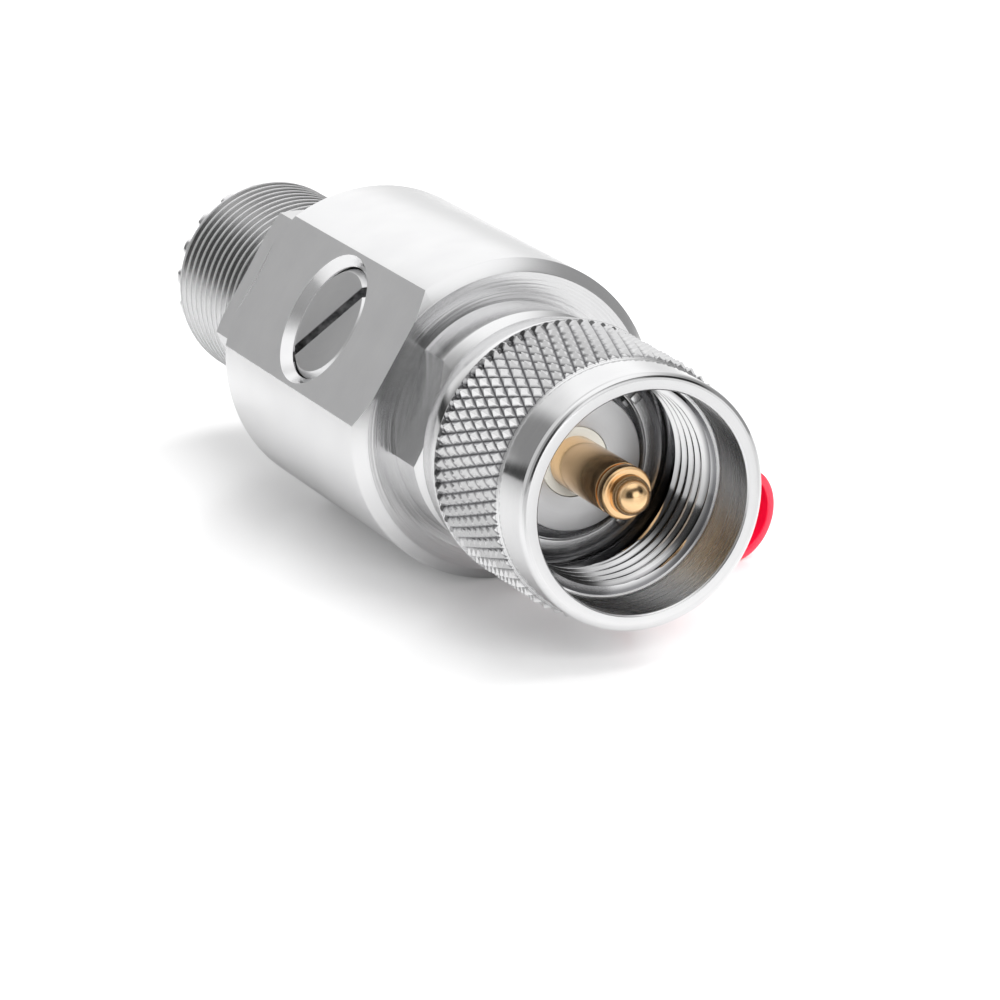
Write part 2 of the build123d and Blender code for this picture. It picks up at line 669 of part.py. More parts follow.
def make_screw(seat):
    """Slotted cheese-head ground screw."""
    top = seat + SCREW_HEAD_HEIGHT
    tip = SPOT_HEIGHT - SCREW_DEPTH
    screw = spun(
        (0, tip),
        (SCREW_RADIUS - SCREW_EDGE, tip),
        (SCREW_RADIUS, tip + SCREW_EDGE),
        (SCREW_RADIUS, seat),
        (SCREW_HEAD_RADIUS, seat),
        (SCREW_HEAD_RADIUS, top - SCREW_EDGE),
        (SCREW_HEAD_RADIUS - SCREW_EDGE, top),
        (0, top),
    )
    slot = Box(3 * SCREW_HEAD_RADIUS, SCREW_SLOT_WIDTH, 2 * SCREW_SLOT_DEPTH)
    return screw - Pos(0, 0, top) * Rot(0, 0, SCREW_SLOT_ANGLE) * slot


def barrel_place():
    """Place of the wire barrel in the terminal: its own X runs out of the sleeve."""
    turn = Location((TONGUE_BEND, 0, 0), (0, -BARREL_TILT, 0))
    return turn * Pos(0, 0, BARREL_RADIUS)


def terminal_place():
    """Place of the ring terminal: swung round the screw until its sleeve rests.

    The lowest point of the sleeve's mouth then has the height of the body's
    lowest line, so the whole part lies on both. The plane's own Y points down,
    so a swing upwards is a negative turn.
    """
    tilt = radians(BARREL_TILT)
    ground = radians(GROUND_ANGLE)
    reach = TONGUE_BEND - BARREL_RADIUS * sin(tilt) + SLEEVE_MOUTH * cos(tilt)
    height = TONGUE_HEIGHT + BARREL_RADIUS * cos(tilt) + SLEEVE_MOUTH * sin(tilt)
    swing = 0.0
    for _ in range(20):
        slope = sin(tilt) * sin(ground) + cos(tilt) * sin(swing) * cos(ground)
        drop = SLEEVE_MOUTH_RADIUS * sqrt(1 - slope * slope)
        lift = drop - BODY_RADIUS - height * sin(ground)
        swing = asin(lift / (reach * cos(ground)))
    place = beside(GROUND_X, GROUND_ANGLE) * Pos(0, 0, TONGUE_HEIGHT)
    return place * Rot(0, 0, -degrees(swing))


def make_terminal():
    """Crimp ring terminal: ring, tongue and tilted wire barrel."""
    ring = Cylinder(TONGUE_RING_RADIUS, TONGUE_THICKNESS, align=(Align.CENTER, Align.CENTER, Align.MIN))
    strip = Box(
        TONGUE_BEND,
        TONGUE_WIDTH,
        TONGUE_THICKNESS,
        align=(Align.MIN, Align.CENTER, Align.MIN),
    )
    rise = Box(
        2 * TONGUE_BEND,
        TONGUE_WIDTH,
        TONGUE_THICKNESS,
        align=(Align.MIN, Align.CENTER, Align.MIN),
    )
    foot = Location((TONGUE_BEND, 0, 0), (0, -BARREL_TILT, 0)) * (rise & foot_trim())
    barrel = Rot(0, 90, 0) * Cylinder(
        BARREL_RADIUS, BARREL_END - BARREL_START, align=(Align.CENTER, Align.CENTER, Align.MIN)
    )
    bore = Rot(0, 90, 0) * Cylinder(
        BARREL_BORE_RADIUS, 4 * BARREL_END, align=(Align.CENTER, Align.CENTER, Align.CENTER)
    )
    saddle = Box(
        4 * BARREL_RADIUS,
        4 * BARREL_RADIUS,
        4 * BARREL_RADIUS,
        align=(Align.MAX, Align.CENTER, Align.CENTER),
    )
    barrel = Pos(BARREL_START, 0, 0) * barrel
    barrel -= Pos(BARREL_START, 0, -BARREL_RADIUS) * Rot(0, BARREL_HEEL_ANGLE, 0) * saddle
    terminal = ring + strip + foot + barrel_place() * barrel
    terminal -= barrel_place() * (Pos(2 * BARREL_END, 0, 0) * bore)
    hole = Cylinder(WASHER_HOLE_RADIUS, 4 * TONGUE_THICKNESS)
    return terminal - hole


def foot_trim():
    """Round envelope that keeps the tongue's foot inside the barrel's outside."""
    envelope = Rot(0, 90, 0) * Cylinder(BARREL_RADIUS, 4 * BARREL_END)
    return Pos(0, 0, BARREL_RADIUS) * envelope


def make_sleeve():
    """Insulating sleeve: snug on the barrel, open funnel towards the wire."""
    bore = BARREL_RADIUS + SEAT_GAP
    mouth_bore = SLEEVE_MOUTH_RADIUS - SLEEVE_WALL
    return turned(
        (SLEEVE_REAR, bore),
        (SLEEVE_REAR, SLEEVE_REAR_RADIUS - SLEEVE_EDGE),
        (SLEEVE_REAR + SLEEVE_EDGE, SLEEVE_REAR_RADIUS),
        (SLEEVE_MOUTH, SLEEVE_MOUTH_RADIUS),
        (SLEEVE_MOUTH, mouth_bore),
        (BARREL_END + SLEEVE_FUNNEL, mouth_bore - SLEEVE_TAPER),
        (BARREL_END, bore),
    )


def ground_stack():
    """Screw, washers and terminal, stacked outwards from the spot face."""
    place = beside(GROUND_X, GROUND_ANGLE)
    tooth_bottom = SPOT_HEIGHT + FLAT_WASHER_THICKNESS
    lock_bottom = TONGUE_HEIGHT + TONGUE_THICKNESS
    seat = lock_bottom + LOCK_WASHER_THICKNESS
    terminal = terminal_place()
    return {
        "flat_washer": place * make_washer(SPOT_HEIGHT, FLAT_WASHER_THICKNESS, FLAT_WASHER_RADIUS),
        "tooth_washer": place * make_tooth_washer(tooth_bottom),
        "ring_terminal": terminal * make_terminal(),
        "terminal_sleeve": terminal * barrel_place() * make_sleeve(),
        "lock_washer": place * make_lock_washer(lock_bottom),
        "ground_screw": place * make_screw(seat),
    }


def make_pieces():
    """Every piece of the arrestor, by name."""
    pieces = {
        "body_housing": make_body(),
        "plug_shell": make_shell(),
        "coupling_nut": make_nut(),
        "nut_snap_ring": make_snap_ring(),
        "centre_pin": make_pin(),
        "plug_insulator": make_bead(),
        "contact_block": make_block(),
        "socket_contact": make_contact(),
        "socket_insulator": make_socket_insulator(),
        "gas_tube_ceramic": make_ceramic(),
        "gas_tube_inner_electrode": make_electrode(TUBE_SEAT, CERAMIC_BOTTOM),
        "gas_tube_outer_electrode": make_electrode(TUBE_TOP, CERAMIC_TOP),
        "contact_spring": beside(CAP_X, CAP_ANGLE) * spring_coil(TUBE_TOP, POCKET_TOP),
        "gas_tube_cap": make_cap(),
        "cap_o_ring": make_cap_ring(),
        "shell_o_ring": make_shell_ring(),
    }
    pieces.update(ground_stack())
    return pieces


os.makedirs("parts", exist_ok=True)
for name, piece in make_pieces().items():
    export_step(piece, "parts/" + name + ".step")
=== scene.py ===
# %% [markdown]
# # A coaxial lightning arrestor on a white table
#
# The object is a stack of turned brass parts with bright nickel plate: a body with a milled flat,
# a plug with a knurled nut on one end and a threaded socket on the other. Bright metal has hardly any
# colour of its own. It shows the room, so the shapes need clean round surfaces and crisp edges, and the
# light needs large white areas with a few dark ones between them.

# %% Load the frame
import json
from math import cos, pi, radians, sin, tan

import bmesh
import bpy
from mathutils import Matrix, Vector


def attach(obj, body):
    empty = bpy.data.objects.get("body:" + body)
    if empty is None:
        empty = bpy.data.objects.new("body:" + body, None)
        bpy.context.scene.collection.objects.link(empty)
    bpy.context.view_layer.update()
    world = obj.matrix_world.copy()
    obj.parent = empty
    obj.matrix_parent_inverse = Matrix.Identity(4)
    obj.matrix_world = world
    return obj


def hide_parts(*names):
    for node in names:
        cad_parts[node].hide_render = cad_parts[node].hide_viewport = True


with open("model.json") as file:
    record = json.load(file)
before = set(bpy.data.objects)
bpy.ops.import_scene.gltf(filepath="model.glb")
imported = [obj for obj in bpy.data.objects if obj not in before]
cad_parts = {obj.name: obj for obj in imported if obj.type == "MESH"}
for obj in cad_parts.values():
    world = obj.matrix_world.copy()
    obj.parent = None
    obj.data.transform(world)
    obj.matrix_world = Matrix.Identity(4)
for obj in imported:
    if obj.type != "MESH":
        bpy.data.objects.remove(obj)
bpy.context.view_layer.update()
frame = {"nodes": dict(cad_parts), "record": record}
MM = 0.001

# %% [markdown]
# Nodes are easier to read as sums than as boxes and wires. A Signal is one output socket, and arithmetic
# on it adds the Math or Vector Math node that works it out. A Graph adds every other node, with its
# settings first and then the values or links of its sockets. Both work for materials and for geometry.

# %% A small way to write nodes
class Signal:
    """One output socket of a node. Arithmetic on it adds nodes."""

    def __init__(self, graph, socket):
        self.graph = graph
        self.socket = socket

    def work(self, operation, *values, value=False):
        kind = "ShaderNodeVectorMath" if self.socket.type == "VECTOR" else "ShaderNodeMath"
        inputs = dict(enumerate(values))
        return self.graph.node(kind, inputs, operation=operation)["Value" if value else 0]

    def __add__(self, other):
        return self.work("ADD", self, other)

    def __radd__(self, other):
        return self.work("ADD", other, self)

    def __sub__(self, other):
        return self.work("SUBTRACT", self, other)

    def __rsub__(self, other):
        return self.work("SUBTRACT", other, self)

    def __mul__(self, other):
        return self.work("MULTIPLY", self, other)

    def __rmul__(self, other):
        return self.work("MULTIPLY", other, self)

    def __truediv__(self, other):
        return self.work("DIVIDE", self, other)

    def floor(self):
        return self.work("FLOOR", self)

    def fraction(self):
        return self.work("FRACT", self)

    def size(self):
        return self.work("ABSOLUTE", self)

    def root(self):
        return self.work("SQRT", self)

    def clamp(self, low, high):
        return self.work("MAXIMUM", self.work("MINIMUM", self, high), low)

    def above(self, limit):
        return self.work("GREATER_THAN", self, limit)

    def below(self, limit):
        return self.work("LESS_THAN", self, limit)

    def rise(self, low, high):
        """Goes from 0 at low to 1 at high, and stays there."""
        return ((self - low) / (high - low)).clamp(0.0, 1.0)


class Built:
    """A node that was added. Its outputs are found by name or number."""

    def __init__(self, graph, node):
        self.graph = graph
        self.node = node

    def __getitem__(self, key):
        return Signal(self.graph, self.node.outputs[key])


class Graph:
    """A node tree to add nodes to."""

    def __init__(self, tree):
        self.tree = tree
        tree.nodes.clear()

    def node(self, kind, inputs=None, **settings):
        made = self.tree.nodes.new(kind)
        for key, value in settings.items():
            setattr(made, key, value)
        for key, value in (inputs or {}).items():
            socket = made.inputs[key]
            if isinstance(value, Signal):
                self.tree.links.new(value.socket, socket)
            else:
                socket.default_value = value
        return Built(self, made)


# %% [markdown]
# Most pieces are turned on a lathe. The outline is a closed list of (x, radius) points in millimetres, and
# every corner gets a tiny round, because a real edge catches a line of light and a perfect one doesn't.

# %% Outlines with softened corners
SEGMENTS = 192
EDGE_ROUND = 0.05
ON_AXIS = 1e-6
NEARLY_STRAIGHT = radians(172)
LARGEST_SHARE = 0.42
ARC_STEPS = 3


def soften(outline, radius):
    """The closed outline with each corner off the axis replaced by a small arc."""
    made = []
    count = len(outline)
    for index in range(count):
        corner = Vector(outline[index])
        before = Vector(outline[index - 1]) - corner
        after = Vector(outline[(index + 1) % count]) - corner
        if corner.y < ON_AXIS or radius <= 0 or before.angle(after) > NEARLY_STRAIGHT:
            made.append(tuple(corner))
            continue
        shortest = LARGEST_SHARE * min(before.length, after.length)
        reach = min(radius / tan(before.angle(after) / 2), shortest)
        start = corner + before.normalized() * reach
        end = corner + after.normalized() * reach
        for step in range(ARC_STEPS + 1):
            t = step / ARC_STEPS
            made.append(tuple(start * (1 - t) ** 2 + corner * (2 * t * (1 - t)) + end * t ** 2))
    return made


def turned(name, outline, soft=EDGE_ROUND, segments=SEGMENTS):
    """A mesh object turned about the X axis, from (x, radius) points in millimetres."""
    points = soften(outline, soft)
    shape = bmesh.new()
    rings = []
    for x, r in points:
        if r < ON_AXIS:
            rings.append([shape.verts.new((x * MM, 0, 0))] * segments)
            continue
        ring = []
        for index in range(segments):
            angle = 2 * pi * index / segments
            ring.append(shape.verts.new((x * MM, r * cos(angle) * MM, r * sin(angle) * MM)))
        rings.append(ring)
    for index, ring in enumerate(rings):
        following = rings[(index + 1) % len(rings)]
        for step in range(segments):
            ahead = (step + 1) % segments
            corners = []
            for vertex in (ring[step], ring[ahead], following[ahead], following[step]):
                if vertex not in corners:
                    corners.append(vertex)
            if len(corners) > 2:
                shape.faces.new(corners)
    bmesh.ops.recalc_face_normals(shape, faces=shape.faces)
    return mesh_object(name, shape)


def mesh_object(name, shape):
    """An object from a finished bmesh."""
    mesh = bpy.data.meshes.new(name)
    shape.to_mesh(mesh)
    shape.free()
    made = bpy.data.objects.new(name, mesh)
    bpy.context.scene.collection.objects.link(made)
    return made


# %% [markdown]
# Some pieces stand sideways on the connector. A place is a matrix that turns the X axis of a piece outwards
# from the connector's axis and its Y axis along it, so that such a piece is turned like all others and
# then put in its place.

# %% Places beside the axis
def beside(x, angle):
    """Place whose X axis points sideways out of the connector at an angle from +Y towards +Z."""
    turn = radians(angle)
    out = Vector((0, cos(turn), sin(turn)))
    along = Vector((1, 0, 0))
    place = Matrix((out, along, out.cross(along))).transposed().to_4x4()
    place.translation = Vector((x, 0, 0)) * MM
    return place


def moved(piece, place):
    """The piece with a place applied to its mesh, so that its object stays at the origin."""
    piece.data.transform(place)
    return piece


# %% [markdown]
# Holes, slots and milled flats are cut with an exact Boolean. The result is turned into a plain mesh at
# once and its edges are marked sharp by angle, so the round parts shade smoothly and the cuts stay crisp.

# %% Cutting and finishing
def evaluated(piece):
    """Turns what the piece's modifiers make into its plain mesh."""
    bpy.context.view_layer.update()
    graph = bpy.context.evaluated_depsgraph_get()
    mesh = bpy.data.meshes.new_from_object(piece.evaluated_get(graph))
    piece.modifiers.clear()
    piece.data = mesh
    return piece


def cut(piece, tool, operation="DIFFERENCE"):
    """Cuts the tool out of the piece, and deletes the tool."""
    change = piece.modifiers.new("cut", "BOOLEAN")
    change.operation = operation
    change.solver = "EXACT"
    change.object = tool
    evaluated(piece)
    bpy.data.objects.remove(tool)
    return piece


def block(name, low, high, place=Matrix.Identity(4)):
    """A box between its lowest and its highest corner, in millimetres, put in a place."""
    shape = bmesh.new()
    bmesh.ops.create_cube(shape, size=1.0)
    for vertex in shape.verts:
        vertex.co = [(low[i] if vertex.co[i] < 0 else high[i]) * MM for i in range(3)]
    return moved(mesh_object(name, shape), place)


def joined(name, *pieces):
    """One object from several meshes."""
    shape = bmesh.new()
    for piece in pieces:
        shape.from_mesh(piece.data)
        bpy.data.objects.remove(piece)
    return mesh_object(name, shape)


def smooth(piece, angle=24):
    """Smooth shading with the edges sharper than an angle kept crisp."""
    for face in piece.data.polygons:
        face.use_smooth = True
    piece.data.set_sharp_from_angle(angle=radians(angle))
    return piece


def dressed(piece, node, body, material):
    """Puts a finished piece in the place of its CAD node, on the node's body."""
    piece.data.materials.clear()
    piece.data.materials.append(material)
    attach(piece, body)
    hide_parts(node)
    print(piece.name, len(piece.data.polygons), "faces")
    return piece


# %% [markdown]
# What repeats is made by Geometry Nodes. A tree gets named inputs, and this helper fills them in by the
# sockets' identifiers, evaluates the result and keeps it as a plain mesh.

# %% Geometry node trees
def geometry_tree(name, inputs):
    """A geometry node tree with named inputs, and the Graph and input node to build it with."""
    tree = bpy.data.node_groups.new(name, "GeometryNodeTree")
    graph = Graph(tree)
    for label, kind in {**inputs, "Finish": "Material"}.items():
        tree.interface.new_socket(label, in_out="INPUT", socket_type="NodeSocket" + kind)
    tree.interface.new_socket("Geometry", in_out="OUTPUT", socket_type="NodeSocketGeometry")
    return graph, graph.node("NodeGroupInput")


def finished(graph, given, geometry):
    """Ends a tree: copies become real meshes and get the finish."""
    real = graph.node("GeometryNodeRealizeInstances", {"Geometry": geometry})
    painted = graph.node(
        "GeometryNodeSetMaterial", {"Geometry": real["Geometry"], "Material": given["Finish"]}
    )
    graph.node("NodeGroupOutput", {"Geometry": painted["Geometry"]})


def grown(name, tree, values):
    """An object with the plain mesh that a tree makes from some values."""
    made = bpy.data.objects.new(name, bpy.data.meshes.new(name))
    bpy.context.scene.collection.objects.link(made)
    nodes = made.modifiers.new("grow", "NODES")
    nodes.node_group = tree
    for item in tree.interface.items_tree:
        if item.in_out == "INPUT":
            nodes[item.identifier] = values[item.name]
    return evaluated(made)


# %% [markdown]
# ## The finishes
#
# Turned metal has fine rings round its axis: lines across a cylinder, circles on a flat face. The pattern
# is a noise that changes fast with the place along the axis and with the radius, and slowly round the
# axis. It shifts the roughness and a very shallow bump.

# %% Patterns on turned and milled metal
RING_SPREAD = 0.35
AXIS_GAP = 0.05


def local_parts(graph, place):
    """X, Y, Z and the distance from the X axis in the frame of a place, in millimetres."""
    spot = graph.node("ShaderNodeTexCoord")["Object"]
    local = graph.node(
        "ShaderNodeMapping",
        {"Vector": spot, "Location": place.translation, "Rotation": place.to_euler()},
        vector_type="TEXTURE",
    )["Vector"]
    in_mm = graph.node("ShaderNodeVectorMath", {0: local, "Scale": 1 / MM}, operation="SCALE")["Vector"]
    parts = graph.node("ShaderNodeSeparateXYZ", {"Vector": in_mm})
    x, y, z = parts["X"], parts["Y"], parts["Z"]
    return x, y, z, (y * y + z * z).root()


def ring_noise(graph, place, density):
    """Noise in fine rings round the X axis of a place, from 0 to 1."""
    x, y, z, distance = local_parts(graph, place)
    radius = distance + AXIS_GAP
    around = graph.node(
        "ShaderNodeCombineXYZ",
        {"X": x * density, "Y": radius * density, "Z": y / radius * RING_SPREAD},
    )["Vector"]
    return graph.node(
        "ShaderNodeTexNoise",
        {"Vector": around, "W": z / radius * RING_SPREAD, "Scale": 1.0, "Detail": 3.0, "Roughness": 0.6},
        noise_dimensions="4D",
    )["Fac"]


def soft_noise(graph, scale, detail=2.0):
    """Plain noise on object coordinates, with a scale in lumps per millimetre."""
    spot = graph.node("ShaderNodeTexCoord")["Object"]
    return graph.node(
        "ShaderNodeTexNoise", {"Vector": spot, "Scale": scale / MM, "Detail": detail}
    )["Fac"]


def finish_material(name, build):
    """A material whose Principled sockets come from what build(graph) returns."""
    made = bpy.data.materials.new(name)
    made.use_nodes = True
    graph = Graph(made.node_tree)
    sockets = build(graph)
    shader = graph.node("ShaderNodeBsdfPrincipled", sockets)
    graph.node("ShaderNodeOutputMaterial", {"Surface": shader["BSDF"]})
    return made


MIX_FIRST, MIX_SECOND, MIX_RESULT = 6, 7, 2


def mixed(graph, mask, first, second):
    """A colour between two, by a mask. Each is a plain colour or a Signal."""
    ends = [end if isinstance(end, Signal) else (*end, 1.0) for end in (first, second)]
    inputs = {"Factor": mask, MIX_FIRST: ends[0], MIX_SECOND: ends[1]}
    return graph.node("ShaderNodeMix", inputs, data_type="RGBA")[MIX_RESULT]


def shallow(graph, height, depth_mm):
    """A normal from a height between 0 and 1 that stands for a depth."""
    inputs = {"Height": height, "Distance": depth_mm * MM, "Strength": 1.0}
    return graph.node("ShaderNodeBump", inputs)["Normal"]


# %% Turned metal
ALONG_X = Matrix.Identity(4)
NICKEL_LOW = (0.66, 0.66, 0.67)
NICKEL_HIGH = (0.80, 0.80, 0.80)
PAINTED_SHADE_COLOUR = (0.10, 0.10, 0.11)
SATIN = 0.16
FACE_DEPTH = 6.0
CLOUD_SCALE = 0.25
CLOUD_SHARE = 0.6


def turned_metal(
    name, place, low, high, rough, rough_spread, density, depth_mm, painted_shade=None, satin=None, faces=None
):
    """Turned metal between two colours, with masks for painted shade in grooves, satin places and ringed
    faces.
    """

    def build(graph):
        rings = ring_noise(graph, place, density)
        clouds = soft_noise(graph, CLOUD_SCALE)
        colour = mixed(graph, clouds * CLOUD_SHARE + rings * (1 - CLOUD_SHARE), low, high)
        roughness = rings * rough_spread + (rough - rough_spread / 2)
        height = rings
        if painted_shade:
            # Painted shade: the masked grooves and recesses are darkened towards a dark colour.
            colour = mixed(graph, painted_shade(graph), colour, PAINTED_SHADE_COLOUR)
        if satin:
            roughness = roughness + satin(graph) * SATIN
        if faces:
            height = rings * (1.0 + faces(graph) * FACE_DEPTH)
        return {
            "Base Color": colour,
            "Metallic": 1.0,
            "Roughness": roughness,
            "Normal": shallow(graph, height, depth_mm),
        }

    return finish_material(name, build)


# %% [markdown]
# The cap, its flat and the gas tube share one line that leaves the axis at an angle. The ground screw has
# another. Their finishes need these places too, because the cap and the screw were turned about them.

# %% Places of the cap and of the ground screw
CAP_X = -23.4
CAP_ANGLE = 148.3
GROUND_X = -26.0
GROUND_ANGLE = -31.7
cap_place = beside(CAP_X, CAP_ANGLE)
ground_place = beside(GROUND_X, GROUND_ANGLE)

# %% Rubber and plastics
PLASTIC_CLOUDS = 0.4
GRAIN_SPREAD = 0.12


def plastic(name, low, high, rough, coat, grain, depth_mm):
    """A moulded plastic or rubber with faint clouds and grain."""

    def build(graph):
        clouds = soft_noise(graph, PLASTIC_CLOUDS)
        fine = soft_noise(graph, grain, 4.0)
        return {
            "Base Color": mixed(graph, clouds, low, high),
            "Roughness": fine * GRAIN_SPREAD + (rough - GRAIN_SPREAD / 2),
            "Coat Weight": coat,
            "Coat Roughness": 0.08,
            "Normal": shallow(graph, fine, depth_mm),
        }

    return finish_material(name, build)


red_vinyl = plastic("red vinyl", (0.78, 0.0, 0.03), (0.95, 0.01, 0.06), 0.32, 0.6, 1.2, 0.02)
white_bead = plastic("white insulator", (0.96, 0.93, 0.83), (1.0, 0.98, 0.90), 0.38, 0.1, 3.0, 0.004)
ceramic = plastic("tube ceramic", (0.88, 0.86, 0.82), (0.94, 0.93, 0.90), 0.6, 0.0, 6.0, 0.004)
rubber = plastic("black rubber", (0.015, 0.015, 0.015), (0.03, 0.03, 0.03), 0.6, 0.0, 4.0, 0.01)

# %% Gold and the inner metals
gold = turned_metal("gold plate", ALONG_X, (0.78, 0.46, 0.22), (0.98, 0.72, 0.42), 0.16, 0.10, 5.0, 0.002)
brass = turned_metal("plain brass", ALONG_X, (0.62, 0.42, 0.15), (0.78, 0.58, 0.26), 0.3, 0.12, 5.0, 0.003)
steel = turned_metal("spring steel", ALONG_X, (0.42, 0.42, 0.44), (0.55, 0.55, 0.57), 0.3, 0.12, 5.0, 0.003)
zinc = turned_metal("zinc screw", ground_place, (0.55, 0.56, 0.58), (0.70, 0.71, 0.72), 0.3, 0.15, 4.0, 0.004)
tin = turned_metal("tin plate", ground_place, (0.60, 0.59, 0.58), (0.74, 0.73, 0.72), 0.34, 0.12, 2.0, 0.004)
electrode = turned_metal(
    "electrode", cap_place, (0.55, 0.53, 0.50), (0.68, 0.66, 0.62), 0.35, 0.1, 4.0, 0.003
)
print("materials so far:", len(bpy.data.materials))

# %% [markdown]
# ## Screw threads
#
# A thread is one ridge wound round a cylinder. Its surface is a grid: one way round the axis, the other
# way along it, and the along direction is sheared by one pitch per turn. The height of the ridge depends
# only on how far a point is from the ridge's middle. At the ends the grid is clamped to the planes where
# the tool stopped, so the thread ends the way a cut thread does. One tree serves the socket and the nut.

# %% The thread tree
THREAD_PITCH = 25.4 / 24
ROWS_PER_TURN = 10
CREST_HALF = 0.1
FLANK = 0.3
SEAM = 0.000002
thread_graph, thread_in = geometry_tree(
    "screw_thread",
    {
        "Start": "Float",
        "End": "Float",
        "Pitch": "Float",
        "Valley": "Float",
        "Crest": "Float",
        "Chamfer": "Float",
        "Around": "Int",
        "Rows Per Turn": "Int",
    },
)


def build_thread(graph, given):
    """Builds the tree that winds a ridge between two planes."""
    length = given["End"] - given["Start"]
    turns = (length / given["Pitch"]).floor() + 2.0
    rows = turns * given["Rows Per Turn"] + 1.0
    grid = graph.node(
        "GeometryNodeMeshGrid",
        {"Size X": 1.0, "Size Y": 1.0, "Vertices X": given["Around"] + 1.0, "Vertices Y": rows},
    )
    spot = graph.node("ShaderNodeSeparateXYZ", {0: graph.node("GeometryNodeInputPosition")["Position"]})
    around = spot["X"] + 0.5
    along = (spot["Y"] + 0.5) * turns - 1.0 + around
    x = (given["Start"] + along * given["Pitch"]).clamp(given["Start"], given["End"])
    phase = ((x - given["Start"]) / given["Pitch"] - around + 2.0).fraction()
    off_crest = (phase - 0.5).size()
    ridge = (1.0 - (off_crest - CREST_HALF) / FLANK).clamp(0.0, 1.0)
    start_gap = (x - given["Start"]) / given["Chamfer"]
    end_gap = (given["End"] - x) / given["Chamfer"]
    run_out = start_gap.work("MINIMUM", start_gap, end_gap).clamp(0.0, 1.0)
    height = ridge.work("MINIMUM", ridge, run_out)
    r = given["Valley"] + (given["Crest"] - given["Valley"]) * height
    turn = around * (2 * pi)
    place = graph.node(
        "ShaderNodeCombineXYZ",
        {"X": x, "Y": r * turn.work("COSINE", turn), "Z": r * turn.work("SINE", turn)},
    )
    bent = graph.node("GeometryNodeSetPosition", {"Geometry": grid["Mesh"], "Position": place["Vector"]})
    closed = graph.node("GeometryNodeMergeByDistance", {"Geometry": bent["Geometry"], "Distance": SEAM})
    finished(graph, given, closed["Geometry"])


build_thread(thread_graph, thread_in)


def thread(name, start, end, valley, crest, chamfer, outward, finish):
    """A thread's surface between two planes, in millimetres."""
    made = grown(
        name,
        thread_graph.tree,
        {
            "Start": start * MM,
            "End": end * MM,
            "Pitch": THREAD_PITCH * MM,
            "Valley": valley * MM,
            "Crest": crest * MM,
            "Chamfer": chamfer * MM,
            "Around": SEGMENTS,
            "Rows Per Turn": ROWS_PER_TURN,
            "Finish": finish,
        },
    )
    middle = made.data.polygons[len(made.data.polygons) // 2]
    facing = middle.normal.dot(Vector((0, middle.center.y, middle.center.z)).normalized())
    if (facing > 0) != outward:
        made.data.flip_normals()
    return made


# %% [markdown]
# ## The body
#
# One turned piece: a cylinder with two chamfers, a milled flat with the cap's hole, a wrench hexagon, the
# socket's thread and an end rim with teeth. The cylinder is turned here, the flat and the holes are cut,
# and the hexagon, the thread and the teeth are joined on.

# %% Body sizes
BODY_RADIUS = 12.25
BODY_FRONT = -10.4
BODY_REAR = -36.9
FRONT_CHAMFER = 0.9
REAR_CHAMFER_LENGTH = 1.2
REAR_CHAMFER_DEPTH = 0.9
FLAT_HEIGHT = 10.88
HEX_REAR = -42.2
HEX_ACROSS_FLATS = 18.2
HEX_CORNER_ANGLE = 118.5
HEX_CHAMFER = 0.55
THREAD_CREST = 7.9375
THREAD_VALLEY = 7.35
THREAD_REAR = -57.1
RIM_REAR = -57.9
RIM_RADIUS = 7.6
SOCKET_BORE = 6.15
INSULATOR_REAR = -53.4
SEAL_SEAT_RADIUS = 8.14
SEAL_SEAT_DEPTH = 1.1
SPIGOT_BORE = 7.02
BORE_FRONT = -17.0
CHAMBER_RADIUS = 6.6
CAP_HOLE_RADIUS = 4.62
CAP_HOLE_FLOOR = 3.0
CAP_MOUTH_RADIUS = 5.3
CAP_MOUTH_DEPTH = 0.68
EDGE_LENGTH = 0.5
EDGE_REACH = 10.5
EDGE_SLOPE = 12
SPOT_HEIGHT = 11.3
SPOT_RADIUS = 5.2
SCREW_RADIUS = 2.0
SCREW_DEPTH = 4.0

# %% [markdown]
# The bottoms of grooves get painted shade: their colour is darkened where shade falls in them. Flats are
# duller, because they were milled and not turned. Each piece gets a mask for such places from the place
# along the axis and the distance from it.

# %% Nickel plate on the body
def thread_root_shade(graph):
    """Painted shade in the roots of the socket's thread."""
    x, _, _, r = local_parts(graph, ALONG_X)
    along = x.below(HEX_REAR - 0.2) * x.above(THREAD_REAR + 0.1)
    return along * r.above(THREAD_VALLEY - 0.15) * (1.0 - r.rise(7.40, 7.66)) * 0.95


def body_satin(graph):
    """The flat under the cap, the flats of the hexagon and the worn crests of the thread."""
    x, _, _, r = local_parts(graph, ALONG_X)
    height = local_parts(graph, cap_place)[0]
    flats = height.above(FLAT_HEIGHT - 0.02) + x.below(BODY_REAR - 0.05) * r.above(8.4)
    crests = x.below(HEX_REAR - 0.2) * r.above(7.86) * r.below(8.0)
    return flats.clamp(0.0, 1.0) * 1.5 + crests * 1.6


def body_faces(graph):
    """The body's turned front face."""
    x, _, _, r = local_parts(graph, ALONG_X)
    return x.above(BODY_FRONT - 0.05) * r.above(8.2)


body_nickel = turned_metal(
    "nickel body", ALONG_X, NICKEL_LOW, NICKEL_HIGH, 0.20, 0.12, 5.0, 0.003,
    thread_root_shade, body_satin, body_faces,
)

